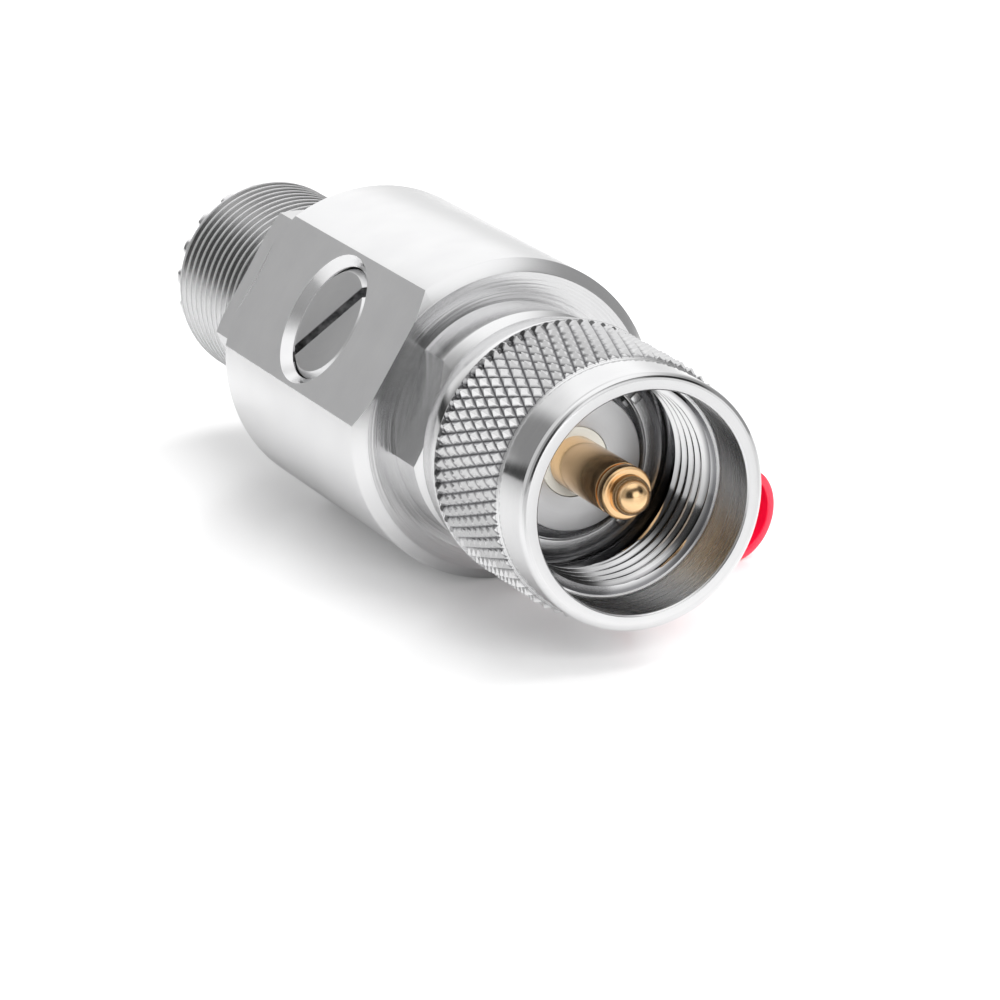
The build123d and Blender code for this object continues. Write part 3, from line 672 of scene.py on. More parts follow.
# %% Turn the body and cut it
body = turned(
    "body_turned",
    [
        (BODY_FRONT, SEAL_SEAT_RADIUS),
        (BODY_FRONT, BODY_RADIUS - FRONT_CHAMFER),
        (BODY_FRONT - FRONT_CHAMFER, BODY_RADIUS),
        (BODY_REAR + REAR_CHAMFER_LENGTH, BODY_RADIUS),
        (BODY_REAR, BODY_RADIUS - REAR_CHAMFER_DEPTH),
        (BODY_REAR, THREAD_VALLEY),
        (THREAD_REAR, THREAD_VALLEY),
        (THREAD_REAR, SOCKET_BORE),
        (INSULATOR_REAR, SOCKET_BORE),
        (INSULATOR_REAR, CHAMBER_RADIUS),
        (BORE_FRONT, CHAMBER_RADIUS),
        (BORE_FRONT, SPIGOT_BORE),
        (BODY_FRONT - SEAL_SEAT_DEPTH, SPIGOT_BORE),
        (BODY_FRONT - SEAL_SEAT_DEPTH, SEAL_SEAT_RADIUS),
    ],
    segments=256,
)
flat_tool = block(
    "flat_tool",
    (FLAT_HEIGHT, BODY_REAR - CAP_X - 1, -20),
    (20, BODY_FRONT - CAP_X + 1, 20),
    cap_place,
)
cut(body, flat_tool)
edge_tool = turned(
    "edge_tool",
    [
        (FLAT_HEIGHT - EDGE_REACH * tan(radians(EDGE_SLOPE)), 0),
        (FLAT_HEIGHT, EDGE_REACH),
        (FLAT_HEIGHT + 3, EDGE_REACH),
        (FLAT_HEIGHT + 3, 0),
    ],
    soft=0.0,
)
cut(body, moved(edge_tool, beside(BODY_REAR + EDGE_LENGTH - EDGE_REACH, CAP_ANGLE)))
cap_hole = turned(
    "cap_hole",
    [
        (CAP_HOLE_FLOOR, 0),
        (CAP_HOLE_FLOOR, CAP_HOLE_RADIUS),
        (FLAT_HEIGHT - CAP_MOUTH_DEPTH, CAP_HOLE_RADIUS),
        (FLAT_HEIGHT, CAP_MOUTH_RADIUS),
        (FLAT_HEIGHT + 2, CAP_MOUTH_RADIUS),
        (FLAT_HEIGHT + 2, 0),
    ],
    soft=0.0,
    segments=128,
)
cut(body, moved(cap_hole, cap_place))
ground_hole = turned(
    "ground_hole",
    [
        (SPOT_HEIGHT - SCREW_DEPTH, 0),
        (SPOT_HEIGHT - SCREW_DEPTH, SCREW_RADIUS),
        (SPOT_HEIGHT, SCREW_RADIUS),
        (SPOT_HEIGHT, SPOT_RADIUS),
        (SPOT_HEIGHT + 3, SPOT_RADIUS),
        (SPOT_HEIGHT + 3, 0),
    ],
    soft=0.0,
    segments=96,
)
cut(body, moved(ground_hole, ground_place))


# %% [markdown]
# The hexagon is turned at both ends: a cone cuts its corners back, which leaves the curved edge that every
# hexagon nut has. Round the axis, the radius is that of the six sides, and where the cone is smaller, the
# edge moves inwards.

# %% The wrench hexagon
STEPS_PER_SIDE = 16
CONE_SLOPE = 0.6
WELD = 1e-7


def hexagon(name, start, end, across, corner_angle, chamfer):
    """A chamfered hexagon prism along X."""
    apothem = across / 2
    corner = apothem / cos(pi / 6)
    small = corner - chamfer
    shape = bmesh.new()
    columns = []
    for index in range(6 * STEPS_PER_SIDE):
        turn = index / STEPS_PER_SIDE * pi / 3
        r = apothem / cos(turn % (pi / 3) - pi / 6)
        inset = max(0.0, r - small) * CONE_SLOPE
        angle = turn + radians(corner_angle)
        column = []
        for x, radius in (
            (start, 0.0),
            (start, min(r, small)),
            (start - inset, r),
            (end + inset, r),
            (end, min(r, small)),
            (end, 0.0),
        ):
            column.append(shape.verts.new((x * MM, radius * cos(angle) * MM, radius * sin(angle) * MM)))
        columns.append(column)
    for index, column in enumerate(columns):
        following = columns[(index + 1) % len(columns)]
        for step in range(5):
            shape.faces.new((column[step], column[step + 1], following[step + 1], following[step]))
    bmesh.ops.remove_doubles(shape, verts=shape.verts, dist=WELD)
    bmesh.ops.recalc_face_normals(shape, faces=shape.faces)
    return mesh_object(name, shape)


# %% [markdown]
# The rim's teeth are eighteen copies of one rounded block. Geometry Nodes put them round the axis.

# %% The teeth on the rim
RIM_TEETH = 18
RIM_FIRST_TOOTH = 135.3
TOOTH_WIDTH = 1.45
TOOTH_ROUND = 0.5


def rounded_block(name, low, high, radius):
    """A box between two corners, in millimetres, with rounded edges."""
    made = block(name, low, high)
    edges = made.modifiers.new("round", "BEVEL")
    edges.width = radius * MM
    edges.segments = 4
    return evaluated(made)


ring_graph, ring_in = geometry_tree(
    "round_the_axis", {"Piece": "Object", "Count": "Int", "First": "Float"}
)


def build_ring(graph, given):
    """Builds the tree that sets copies of a piece round the X axis."""
    points = graph.node("GeometryNodePoints", {"Count": given["Count"]})
    index = graph.node("GeometryNodeInputIndex")["Index"]
    turn = index * (2 * pi) / given["Count"] + given["First"]
    spin = graph.node("ShaderNodeCombineXYZ", {"X": turn})
    piece = graph.node("GeometryNodeObjectInfo", {"Object": given["Piece"]})
    copies = graph.node(
        "GeometryNodeInstanceOnPoints",
        {"Points": points["Points"], "Instance": piece["Geometry"], "Rotation": spin["Vector"]},
    )
    finished(graph, given, copies["Instances"])


build_ring(ring_graph, ring_in)


def around_axis(name, piece, count, first_angle, finish):
    """Copies of a piece that stands on +Y, set round the X axis."""
    values = {"Piece": piece, "Count": count, "First": radians(first_angle), "Finish": finish}
    made = grown(name, ring_graph.tree, values)
    bpy.data.objects.remove(piece)
    return made


tooth = rounded_block(
    "tooth",
    (RIM_REAR, SOCKET_BORE, -TOOTH_WIDTH / 2),
    (THREAD_REAR + 0.6, RIM_RADIUS, TOOTH_WIDTH / 2),
    TOOTH_ROUND,
)
teeth = around_axis("teeth", tooth, RIM_TEETH, RIM_FIRST_TOOTH, body_nickel)

# %% Join the body
hex_piece = hexagon(
    "hexagon", BODY_REAR + 0.4, HEX_REAR, HEX_ACROSS_FLATS, HEX_CORNER_ANGLE, HEX_CHAMFER
)
socket_thread = thread(
    "socket_thread",
    THREAD_REAR + 0.1,
    HEX_REAR - 0.3,
    valley=THREAD_VALLEY - 0.02,
    crest=THREAD_CREST,
    chamfer=0.5,
    outward=True,
    finish=body_nickel,
)
body = joined("body_housing_piece", body, hex_piece, socket_thread, teeth)
smooth(body)
dressed(body, "body_housing", "housing", body_nickel)

# %% [markdown]
# ## The plug shell
#
# The shell's neck shows between the body and the nut, with two wrench flats, and its front shows deep in
# the nut's mouth: a flange with four small teeth, a thin groove, and a bevelled boss.

# %% Shell sizes
BOSS_FACE = 0.9
BOSS_RADIUS = 6.0
BOSS_BEVEL = 0.85
FACE_GROOVE_DEPTH = 0.35
FACE_GROOVE_RADIUS = 6.15
FLANGE_BEVEL = 0.1
FLANGE_RADIUS = 7.5
TUBE_RADIUS = 7.52
RING_SEAT_FRONT = -1.33
RING_SEAT_BACK = -4.02
RING_SEAT_RADIUS = 6.88
NECK_FRONT = -6.1
NECK_BEVEL = 1.0
NECK_RADIUS = 9.24
SPIGOT_RADIUS = 7.0
SPIGOT_REAR = -16.5
BEAD_HOLE = 2.62
BEAD_HOLE_STEP = -9.0
BEAD_REAR_HOLE = 5.02
SHELL_OUTLINE = [
    (BOSS_FACE, BEAD_HOLE),
    (BOSS_FACE, BOSS_RADIUS - BOSS_BEVEL),
    (BOSS_FACE - BOSS_BEVEL, BOSS_RADIUS),
    (-FACE_GROOVE_DEPTH, BOSS_RADIUS),
    (-FACE_GROOVE_DEPTH, FACE_GROOVE_RADIUS),
    (0.0, FACE_GROOVE_RADIUS),
    (0.0, FLANGE_RADIUS - FLANGE_BEVEL),
    (-FLANGE_BEVEL, FLANGE_RADIUS),
    (RING_SEAT_FRONT, TUBE_RADIUS),
    (RING_SEAT_FRONT, RING_SEAT_RADIUS),
    (RING_SEAT_BACK, RING_SEAT_RADIUS),
    (RING_SEAT_BACK, TUBE_RADIUS),
    (NECK_FRONT, TUBE_RADIUS),
    (NECK_FRONT, NECK_RADIUS - NECK_BEVEL),
    (NECK_FRONT - NECK_BEVEL, NECK_RADIUS),
    (BODY_FRONT, NECK_RADIUS),
    (BODY_FRONT, SPIGOT_RADIUS),
    (SPIGOT_REAR, SPIGOT_RADIUS),
    (SPIGOT_REAR, BEAD_REAR_HOLE),
    (BEAD_HOLE_STEP, BEAD_REAR_HOLE),
    (BEAD_HOLE_STEP, BEAD_HOLE),
]
NECK_FLAT_HEIGHT = 8.3
NECK_FLAT_ANGLE = 162.9
NECK_FLAT_REAR = -10.395
TEETH_ANGLE = 38.2


# %% Plug shell
def shell_satin(graph):
    """The face of the plug shell's boss."""
    return local_parts(graph, ALONG_X)[0].above(BOSS_FACE - 0.05) * 1.2


shell_nickel = turned_metal(
    "nickel shell", ALONG_X, NICKEL_LOW, NICKEL_HIGH, 0.20, 0.14, 6.0, 0.004, satin=shell_satin
)
shell = turned("shell_turned", SHELL_OUTLINE)
for angle in (NECK_FLAT_ANGLE, NECK_FLAT_ANGLE - 180):
    tool = block("tool", (NECK_FLAT_HEIGHT, NECK_FLAT_REAR, -10), (12, -6.0, 10), beside(0, angle))
    cut(shell, tool)
flange_tooth = rounded_block("flange_tooth", (-0.1, 6.15, -0.35), (0.45, 6.9, 0.35), 0.08)
flange_teeth = around_axis("flange_teeth", flange_tooth, 4, TEETH_ANGLE, shell_nickel)
shell = smooth(joined("plug_shell_piece", shell, flange_teeth))
dressed(shell, "plug_shell", "housing", shell_nickel)

# %% [markdown]
# ## The coupling nut
#
# The nut is turned with a smooth back and a smooth front collar. Between them runs a diamond knurl: two
# families of grooves, pressed at equal and opposite angles, leave rows of small pyramids. Each pyramid is
# the same four-sided cone, so Geometry Nodes set copies on a lattice whose rows are offset by half a step.
# A turned ring then cuts the band's two ends, with the bevel that the lathe left at the front.

# %% The knurl tree
FIRST_ROW = -0.6
ALMOST_TOUCHING = 0.998
knurl_graph, knurl_in = geometry_tree(
    "diamond_knurl",
    {
        "Start": "Float",
        "End": "Float",
        "Valley": "Float",
        "Depth": "Float",
        "Starts": "Int",
        "Groove Angle": "Float",
        "Flat Top": "Float",
    },
)


def build_knurl(graph, given):
    """Builds the tree that covers a band with pyramids."""
    step = given["Valley"] * (2 * pi) / given["Starts"]
    slope = given["Groove Angle"].work("TANGENT", given["Groove Angle"])
    row_step = step / 2.0 / slope
    length = given["End"] - given["Start"]
    rows = (length / row_step).floor() + 3.0
    count = rows * given["Starts"]
    points = graph.node("GeometryNodePoints", {"Count": count})
    index = graph.node("GeometryNodeInputIndex")["Index"]
    row = ((index + 0.5) / given["Starts"]).floor()
    half = row.work("MODULO", row, 2.0) * 0.5
    turn = (index + half) * (2 * pi) / given["Starts"]
    x = given["Start"] + (row + FIRST_ROW) * row_step
    r = given["Valley"]
    place = graph.node(
        "ShaderNodeCombineXYZ",
        {"X": x, "Y": r * turn.work("COSINE", turn), "Z": r * turn.work("SINE", turn)},
    )
    spin = graph.node("ShaderNodeCombineXYZ", {"X": turn - pi / 2})
    cone = graph.node(
        "GeometryNodeMeshCone",
        {"Vertices": 4, "Radius Top": given["Flat Top"], "Radius Bottom": 1.0, "Depth": 1.0},
    )
    reach = {"X": row_step * ALMOST_TOUCHING, "Y": step / 2 * ALMOST_TOUCHING, "Z": given["Depth"]}
    size = graph.node("ShaderNodeCombineXYZ", reach)
    pyramid = graph.node("GeometryNodeTransform", {"Geometry": cone["Mesh"], "Scale": size["Vector"]})
    seated = graph.node(
        "GeometryNodeSetPosition", {"Geometry": points["Points"], "Position": place["Vector"]}
    )
    copies = graph.node(
        "GeometryNodeInstanceOnPoints",
        {"Points": seated["Geometry"], "Instance": pyramid["Geometry"], "Rotation": spin["Vector"]},
    )
    finished(graph, given, copies["Instances"])


build_knurl(knurl_graph, knurl_in)

# %% Nut sizes
NUT_BACK = -5.13
BACK_RADIUS = 9.41
BACK_BEVEL = 0.3
BACK_MOUTH_RADIUS = 7.9
NUT_BORE = 7.6
RING_GROOVE_RADIUS = 8.1
RING_GROOVE_FRONT = -2.13
RING_GROOVE_BACK = -3.07
RELIEF_BACK = -0.6
MOUTH_RADIUS = 8.2
KNURL_BACK = -1.64
KNURL_BEVEL = 7.75
KNURL_FRONT = 8.25
KNURL_CREST = 10.0
COLLAR_RADIUS = 9.47
KNURL_DEPTH = 0.45
KNURL_STARTS = 66
KNURL_ANGLE = 18.3
NUT_FRONT = 12.1
NUT_THREAD_START = 1.6
NUT_THREAD_END = 7.5
NUT_THREAD_CREST = 7.4
NUT_THREAD_VALLEY = 8.0
KNURL_TOPS = 0.08
FRONT_ROUND = 0.5
MOUTH_BEVEL = 0.12


# %% Nickel plate on the nut
def knurl_root_shade(graph):
    """Painted shade in the roots of the knurl outside, and in the thread's roots and the relief inside the
    nut.
    """
    x, _, _, r = local_parts(graph, ALONG_X)
    outside = x.above(KNURL_BACK) * x.below(8.1) * r.above(9.4) * (1.0 - r.rise(9.57, 9.72))
    inside = x.above(NUT_THREAD_START) * x.below(NUT_THREAD_END) * r.below(8.15) * r.rise(7.60, 7.90)
    relief = x.above(RELIEF_BACK - 0.02) * x.below(1.55) * r.above(8.0) * r.below(8.3)
    return outside * 0.9 + inside * 0.8 + relief * 0.6


def nut_satin(graph):
    """The nut's mouth in front of its thread."""
    x, _, _, r = local_parts(graph, ALONG_X)
    return x.above(NUT_THREAD_END) * r.below(MOUTH_RADIUS + 0.05)


nut_nickel = turned_metal(
    "nickel nut", ALONG_X, NICKEL_LOW, NICKEL_HIGH, 0.11, 0.08, 5.0, 0.002, knurl_root_shade, nut_satin
)


# %% Coupling nut
def rounded_corner(x, r, radius, steps):
    """Quarter circle in place of the outer front corner at x and r, as (x, radius) points."""
    made = []
    for step in range(steps + 1):
        turn = pi / 2 * step / steps
        made.append((x - radius + radius * sin(turn), r - radius + radius * cos(turn)))
    return made


NUT_OUTLINE = [
    (NUT_BACK, BACK_MOUTH_RADIUS),
    (NUT_BACK, BACK_RADIUS - BACK_BEVEL),
    (NUT_BACK + BACK_BEVEL, BACK_RADIUS),
    (KNURL_BACK, KNURL_CREST),
    (KNURL_BACK, KNURL_CREST - KNURL_DEPTH),
    (KNURL_FRONT - 0.08, KNURL_CREST - KNURL_DEPTH),
    (KNURL_FRONT, COLLAR_RADIUS),
    *rounded_corner(NUT_FRONT, COLLAR_RADIUS, FRONT_ROUND, 5),
    (NUT_FRONT, MOUTH_RADIUS + MOUTH_BEVEL),
    (NUT_FRONT - MOUTH_BEVEL, MOUTH_RADIUS),
    (NUT_THREAD_END, MOUTH_RADIUS),
    (NUT_THREAD_END, NUT_THREAD_VALLEY),
    (NUT_THREAD_START, NUT_THREAD_VALLEY),
    (NUT_THREAD_START, MOUTH_RADIUS),
    (RELIEF_BACK, MOUTH_RADIUS),
    (RELIEF_BACK, NUT_BORE),
    (RING_GROOVE_FRONT, NUT_BORE),
    (RING_GROOVE_FRONT, RING_GROOVE_RADIUS),
    (RING_GROOVE_BACK, RING_GROOVE_RADIUS),
    (RING_GROOVE_BACK, NUT_BORE),
    (NUT_BACK + BACK_BEVEL, NUT_BORE),
]
nut = turned("nut_turned", NUT_OUTLINE)
knurl = grown(
    "knurl",
    knurl_graph.tree,
    {
        "Start": KNURL_BACK * MM,
        "End": KNURL_FRONT * MM,
        "Valley": (KNURL_CREST - KNURL_DEPTH) * MM,
        "Depth": KNURL_DEPTH * MM,
        "Starts": KNURL_STARTS,
        "Groove Angle": radians(KNURL_ANGLE),
        "Flat Top": KNURL_TOPS,
        "Finish": nut_nickel,
    },
)
trimmer = turned(
    "trimmer",
    [
        (KNURL_BACK, KNURL_CREST - 2),
        (KNURL_BACK, KNURL_CREST + 1),
        (KNURL_BEVEL, KNURL_CREST + 1),
        (KNURL_BEVEL, KNURL_CREST - 0.02),
        (KNURL_FRONT, COLLAR_RADIUS),
        (KNURL_FRONT, KNURL_CREST - 2),
    ],
    soft=0.0,
    segments=132,
)
cut(knurl, trimmer, "INTERSECT")
nut_thread = thread(
    "nut_thread",
    NUT_THREAD_START,
    NUT_THREAD_END,
    valley=NUT_THREAD_VALLEY + 0.02,
    crest=NUT_THREAD_CREST,
    chamfer=0.6,
    outward=False,
    finish=nut_nickel,
)
nut = smooth(joined("coupling_nut_piece", nut, knurl, nut_thread))
dressed(nut, "coupling_nut", "nut", nut_nickel)

# %% [markdown]
# ## The centre pin and its bead
#
# The pin's nose is a small dome behind a narrow shoulder and a turned groove. A white ring shows round its
# foot.

# %% Centre pin and bead
PIN_RADIUS = 1.95
PIN_GROOVE = 0.2
GROOVE_REAR = 8.3
GROOVE_FRONT = 8.6
PIN_SHOULDER = 9.5
SHOULDER_BEVEL = 0.15
PIN_TAIL = -18.5
TAIL_RADIUS = 1.7
NOSE_RADIUS = 1.45
NOSE_CENTRE = 9.9
BEAD_FACE = 0.85
BEAD_RADIUS = 2.6
BEAD_BORE = 1.72
BEAD_STEP = -9.0
BEAD_REAR = -15.0
BEAD_REAR_RADIUS = 5.0


def dome(centre, radius, steps):
    """Quarter circle from the side of a nose to its tip, as (x, radius) points."""
    made = []
    for step in range(steps + 1):
        turn = pi / 2 * step / steps
        made.append((centre + radius * sin(turn), radius * cos(turn) if step < steps else 0.0))
    return made


pin = turned(
    "centre_pin_piece",
    [
        (PIN_TAIL, 0),
        (PIN_TAIL, TAIL_RADIUS),
        (BEAD_FACE, TAIL_RADIUS),
        (BEAD_FACE, PIN_RADIUS),
        (GROOVE_REAR, PIN_RADIUS),
        (GROOVE_REAR, PIN_RADIUS - PIN_GROOVE),
        (GROOVE_FRONT, PIN_RADIUS - PIN_GROOVE),
        (GROOVE_FRONT, PIN_RADIUS),
        (PIN_SHOULDER - SHOULDER_BEVEL, PIN_RADIUS),
        (PIN_SHOULDER, PIN_RADIUS - SHOULDER_BEVEL),
        (PIN_SHOULDER, NOSE_RADIUS),
        *dome(NOSE_CENTRE, NOSE_RADIUS, 14),
    ],
    segments=128,
)
smooth(pin, 30)
dressed(pin, "centre_pin", "housing", gold)
bead = turned(
    "plug_insulator_piece",
    [
        (BEAD_FACE, BEAD_BORE),
        (BEAD_FACE, BEAD_RADIUS),
        (BEAD_STEP, BEAD_RADIUS),
        (BEAD_STEP, BEAD_REAR_RADIUS),
        (BEAD_REAR, BEAD_REAR_RADIUS),
        (BEAD_REAR, BEAD_BORE),
    ],
    soft=0.08,
    segments=128,
)
smooth(bead, 30)
dressed(bead, "plug_insulator", "housing", white_bead)

# %% [markdown]
# ## The cap
#
# The cap is turned about its own line and has a broad chamfer, a plain face and a slot sawn right across.
# The slot's floor and walls are darkened in mottled patches, partly rust-like marks and partly painted shade
# in the recess, which is a mask across the cap again.

# %% Cap sizes and finish
CAP_TOP = 10.4
CAP_RADIUS = 4.53
CAP_EDGE = 0.43
CAP_BOTTOM = 6.9
CAP_LOWER_EDGE = 0.3
SEAL_GROOVE_TOP = CAP_TOP - 0.93
SEAL_GROOVE_BOTTOM = CAP_TOP - 1.57
SEAL_GROOVE_RADIUS = 3.9
POCKET_TOP = 8.6
POCKET_RADIUS = 3.2
SLOT_WIDTH = 1.0
SLOT_DEPTH = 1.0
SLOT_ANGLE = 39.3


def slot_shade(graph):
    """Painted shade in the cap's sawn slot, over its floor and walls, in mottled rust-like patches."""
    x, y, z, _ = local_parts(graph, cap_place)
    turn = radians(90 - SLOT_ANGLE)
    off_middle = (z * cos(turn) - y * sin(turn)).size()
    mottle = soft_noise(graph, 1.6, 4.0).rise(0.3, 0.7)
    return x.below(CAP_TOP - 0.06) * off_middle.below(SLOT_WIDTH / 2 + 0.02) * mottle * 0.85


cap_nickel = turned_metal(
    "nickel cap", cap_place, NICKEL_LOW, NICKEL_HIGH, 0.3, 0.06, 5.0, 0.001, slot_shade
)

# %% Gas tube cap
cap = turned(
    "gas_tube_cap_piece",
    [
        (CAP_TOP, 0),
        (CAP_TOP, CAP_RADIUS - CAP_EDGE),
        (CAP_TOP - CAP_EDGE, CAP_RADIUS),
        (SEAL_GROOVE_TOP, CAP_RADIUS),
        (SEAL_GROOVE_TOP, SEAL_GROOVE_RADIUS),
        (SEAL_GROOVE_BOTTOM, SEAL_GROOVE_RADIUS),
        (SEAL_GROOVE_BOTTOM, CAP_RADIUS),
        (CAP_BOTTOM + CAP_LOWER_EDGE, CAP_RADIUS),
        (CAP_BOTTOM, CAP_RADIUS - CAP_LOWER_EDGE),
        (CAP_BOTTOM, POCKET_RADIUS),
        (POCKET_TOP, POCKET_RADIUS),
        (POCKET_TOP, 0),
    ],
    segments=160,
)
slot_turn = Matrix.Rotation(radians(90 - SLOT_ANGLE), 4, "X")
slot_tool = block(
    "slot_tool",
    (CAP_TOP - SLOT_DEPTH, -6, -SLOT_WIDTH / 2),
    (CAP_TOP + 1, 6, SLOT_WIDTH / 2),
    slot_turn,
)
cut(cap, slot_tool)
moved(cap, cap_place)
smooth(cap)
dressed(cap, "gas_tube_cap", "cap", cap_nickel)

# %% [markdown]
# ## The ground terminal's sleeve
#
# The sleeve is a soft vinyl tube over the crimp barrel, with an open funnel for the wire. It lies in the
# direction of the barrel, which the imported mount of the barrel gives.

# %% Red sleeve
mounts = {mount["name"]: mount for mount in frame["record"]["mounts"]}
barrel = mounts["wire_barrel"]
barrel_axis = Vector(barrel["axis"]).normalized()
barrel_place = barrel_axis.to_track_quat("X", "Z").to_matrix().to_4x4()
barrel_place.translation = Vector(barrel["pos_m"])
SLEEVE_REAR = -3.3
SLEEVE_MOUTH = 9.7
BARREL_END = 3.5
SLEEVE_BORE = 2.22
SLEEVE_RADIUS = 3.2
MOUTH_OUTER_RADIUS = 3.7
MOUTH_INNER_RADIUS = 3.03
sleeve = turned(
    "terminal_sleeve_piece",
    [
        (SLEEVE_REAR, SLEEVE_BORE),
        (SLEEVE_REAR, SLEEVE_RADIUS - 0.3),
        (SLEEVE_REAR + 0.4, SLEEVE_RADIUS),
        (SLEEVE_MOUTH, MOUTH_OUTER_RADIUS),
        (SLEEVE_MOUTH, MOUTH_INNER_RADIUS),
        (BARREL_END + 2.2, MOUTH_INNER_RADIUS - 0.05),
        (BARREL_END, SLEEVE_BORE),
    ],
    soft=0.2,
    segments=128,
)
moved(sleeve, barrel_place)
smooth(sleeve, 40)
dressed(sleeve, "terminal_sleeve", "housing", red_vinyl)

# %% Finishes of the parts that keep their CAD shape
KEPT = {
    "nut_snap_ring": steel,
    "contact_block": brass,
    "socket_contact": gold,
    "socket_insulator": white_bead,
    "gas_tube_ceramic": ceramic,
    "gas_tube_inner_electrode": electrode,
    "gas_tube_outer_electrode": electrode,
    "contact_spring": steel,
    "cap_o_ring": rubber,
    "shell_o_ring": rubber,
    "ground_screw": zinc,
    "lock_washer": zinc,
    "flat_washer": zinc,
    "tooth_washer": zinc,
    "ring_terminal": tin,
}
for node, material in KEPT.items():
    for slot in frame["nodes"][node].material_slots:
        slot.material = material
print("finished in their CAD shape:", len(KEPT))

# %% [markdown]
# ## The table, the light and the camera
#
# The table is white and slightly glossy. Bright metal shows the whole room, so the room needs bright and
# dark parts: a white ceiling and a white wall behind the object, a dark side where the camera stands, and
# a grey side on the right. The world's colour depends on the direction of a ray, and each soft patch in
# it is one mask. Only glossy rays see the patches. The lamps and a plain world light what isn't metal. In
# the same way, the table gets painted shade in front of the nut, which only the metal's reflections show.

# %% White table
FLOOR_SIZE = 0.9
FLOOR_GAP = 0.00002
FLOOR_LIFT = 0.12
FLOOR_SHADE = 0.93
FRONT_REFLECTION_SHADE = 0.22
REFLECTION_SHADE_START = 0.015
REFLECTION_SHADE_END = 0.045


def floor_finish(graph):
    """White, a little brighter for the camera, with painted shade in front that only the metal's reflections
    show.
    """
    path = graph.node("ShaderNodeLightPath")
    lift = path["Is Camera Ray"] * FLOOR_LIFT
    spot = graph.node("ShaderNodeSeparateXYZ", {"Vector": graph.node("ShaderNodeTexCoord")["Object"]})
    # Painted shade on the table in front of the nut, seen only in the metal's reflections.
    reflection_shade = spot["X"].rise(REFLECTION_SHADE_START, REFLECTION_SHADE_END) * path["Is Glossy Ray"] * FRONT_REFLECTION_SHADE
    white = FLOOR_SHADE - reflection_shade
    grey = graph.node("ShaderNodeCombineXYZ", {"X": lift, "Y": lift, "Z": lift})["Vector"]
    return {
        "Base Color": graph.node("ShaderNodeCombineXYZ", {"X": white, "Y": white, "Z": white})["Vector"],
        "Roughness": 0.2,
        "Specular IOR Level": 0.35,
        "Emission Color": grey,
        "Emission Strength": 1.0,
    }


floor_shape = bmesh.new()
bmesh.ops.create_grid(floor_shape, x_segments=1, y_segments=1, size=FLOOR_SIZE / 2)
floor = mesh_object("table_top", floor_shape)
floor.location.z = -BODY_RADIUS * MM - FLOOR_GAP
floor.data.materials.append(finish_material("white table", floor_finish))


# %% Room with bright and dark parts
def toward(azimuth, elevation):
    """Unit vector in a direction given by its angles in degrees."""
    a, e = radians(azimuth), radians(elevation)
    return Vector((cos(a) * cos(e), sin(a) * cos(e), sin(e)))


SOFTNESS = 0.35


def patch(graph, ray, azimuth, elevation, half_width, half_height):
    """Mask of a soft oval patch of the room, as seen along a ray."""
    middle = toward(azimuth, elevation)
    across = Vector((0, 0, 1)).cross(middle).normalized()
    upward = middle.cross(across)
    u = ray.work("DOT_PRODUCT", ray, across, value=True) / sin(radians(half_width))
    v = ray.work("DOT_PRODUCT", ray, upward, value=True) / sin(radians(half_height))
    reach = (u * u + v * v).root()
    facing = ray.work("DOT_PRODUCT", ray, middle, value=True)
    soft = ((1.0 + SOFTNESS - reach) / (2 * SOFTNESS)).clamp(0.0, 1.0)
    return soft * soft * (3.0 - 2.0 * soft) * facing.work("GREATER_THAN", facing, 0.0)


world = bpy.data.worlds.new("white room")
bpy.context.scene.world = world
world.use_nodes = True
room = Graph(world.node_tree)
ray = room.node("ShaderNodeTexCoord")["Generated"]
WALL = 0.92
# Name, azimuth, elevation, half the width and half the height in degrees, and brightness.
PATCHES = (
    ("ceiling", 0, 89.9, 32, 32, 1.3),
    ("wall behind", 166, 27, 20, 18, 1.25),
    ("left wall", 242, 14, 28, 34, 0.75),
    ("grey left of the camera", 294, 15, 24, 38, 0.45),
    ("dark side of the camera", 331, 12, 22, 36, 0.05),
    ("grey right side", 88, 14, 32, 36, 0.38),
    ("dark right front", 48, 32, 16, 20, 0.03),
    ("gap over the window", 8, 44, 34, 10, 0.15),
    ("front window", 9, 16, 18, 14, 1.35),
    ("grey curtain", 206, 14, 12, 15, 0.3),
    ("dark horizon", 203, 0, 20, 6, 0.05),
)
shade = WALL
for label, azimuth, elevation, half_width, half_height, level in PATCHES:
    mask = patch(room, ray, azimuth, elevation, half_width, half_height)
    shade = shade * (1.0 - mask) + mask * level
    print(label, "at", azimuth, elevation)
AMBIENT = 0.62
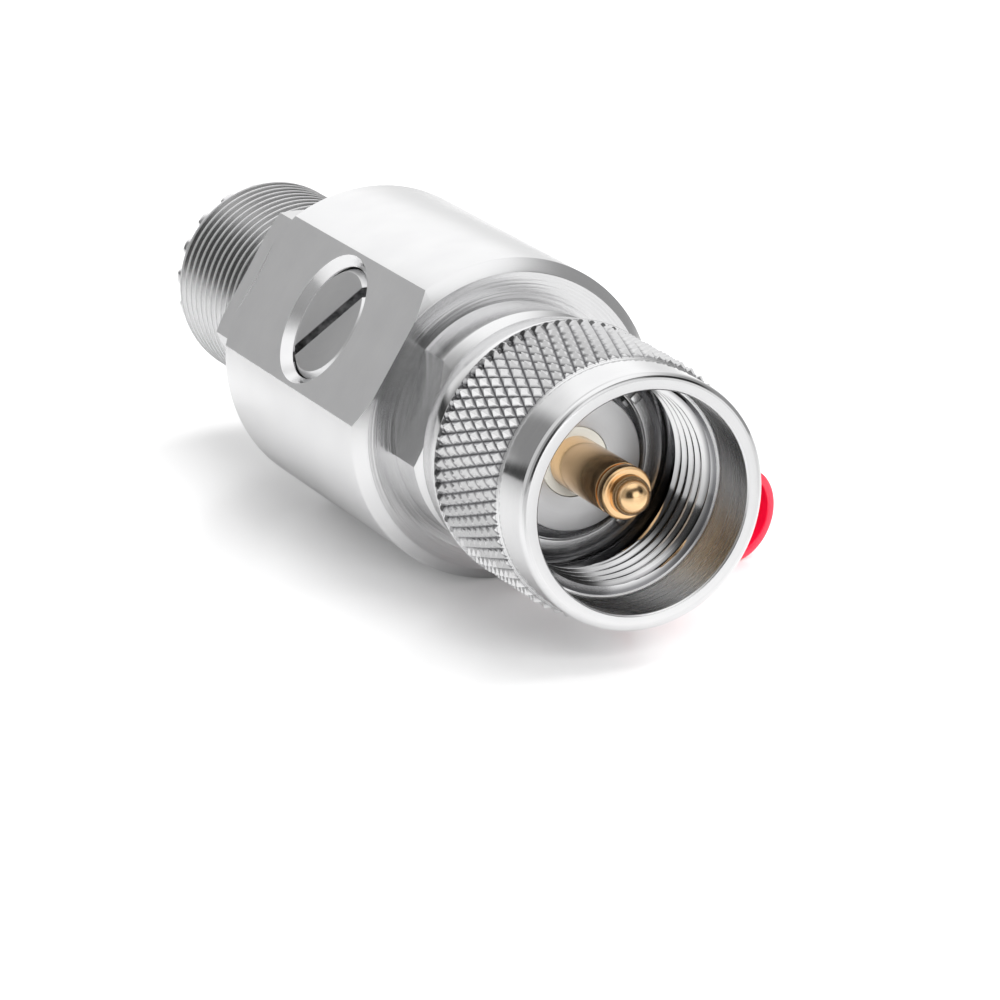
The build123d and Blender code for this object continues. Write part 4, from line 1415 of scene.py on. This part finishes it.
path = room.node("ShaderNodeLightPath")
plain = AMBIENT + (1.0 - AMBIENT) * path["Is Camera Ray"]
mirror = path["Is Glossy Ray"].work("MAXIMUM", path["Is Glossy Ray"], path["Is Transmission Ray"])
strength = plain * (1.0 - mirror) + shade * mirror
backdrop = room.node("ShaderNodeBackground", {"Color": (1, 1, 1, 1), "Strength": strength})
room.node("ShaderNodeOutputWorld", {"Surface": backdrop["Background"]})


# %% Soft lamps
LAMP_AIM = Vector((-0.015, 0.0, 0.0))


def soft_box(name, place, size, power):
    """A rectangular area lamp that points at the object and isn't seen in the metal."""
    lamp = bpy.data.lights.new(name, "AREA")
    lamp.shape = "RECTANGLE"
    lamp.size, lamp.size_y = size
    lamp.energy = power
    made = bpy.data.objects.new(name, lamp)
    made.matrix_world = (Vector(place) - LAMP_AIM).to_track_quat("Z", "Y").to_matrix().to_4x4()
    made.location = place
    made.visible_glossy = False
    bpy.context.scene.collection.objects.link(made)


soft_box("top lamp", (-0.05, 0.15, 0.6), (0.6, 0.6), 2.2)
soft_box("back lamp", (-0.15, 0.5, 0.45), (0.4, 0.4), 1.2)
soft_box("front lamp", (0.45, -0.02, 0.20), (0.3, 0.3), 2.0)

# %% Camera at the photograph's place
CAMERA_PLACE = (0.3377, -0.1619, 0.1123)
CAMERA_RIGHT = Vector((0.4202, 0.9074, 0.0))
CAMERA_AHEAD = Vector((-0.8672, 0.4015, -0.2945)).normalized()
LENS = 195.3
camera = bpy.data.cameras.new("camera")
camera.lens = LENS
camera.sensor_width = 36.0
camera.clip_start = 0.01
camera.clip_end = 20.0
camera_object = bpy.data.objects.new("camera", camera)
right = CAMERA_RIGHT.normalized()
up = right.cross(CAMERA_AHEAD).normalized()
stand = Matrix((right, up, -CAMERA_AHEAD)).transposed().to_4x4()
stand.translation = CAMERA_PLACE
camera_object.matrix_world = stand
bpy.context.scene.collection.objects.link(camera_object)
bpy.context.scene.camera = camera_object
bpy.context.scene.view_settings.view_transform = "Standard"
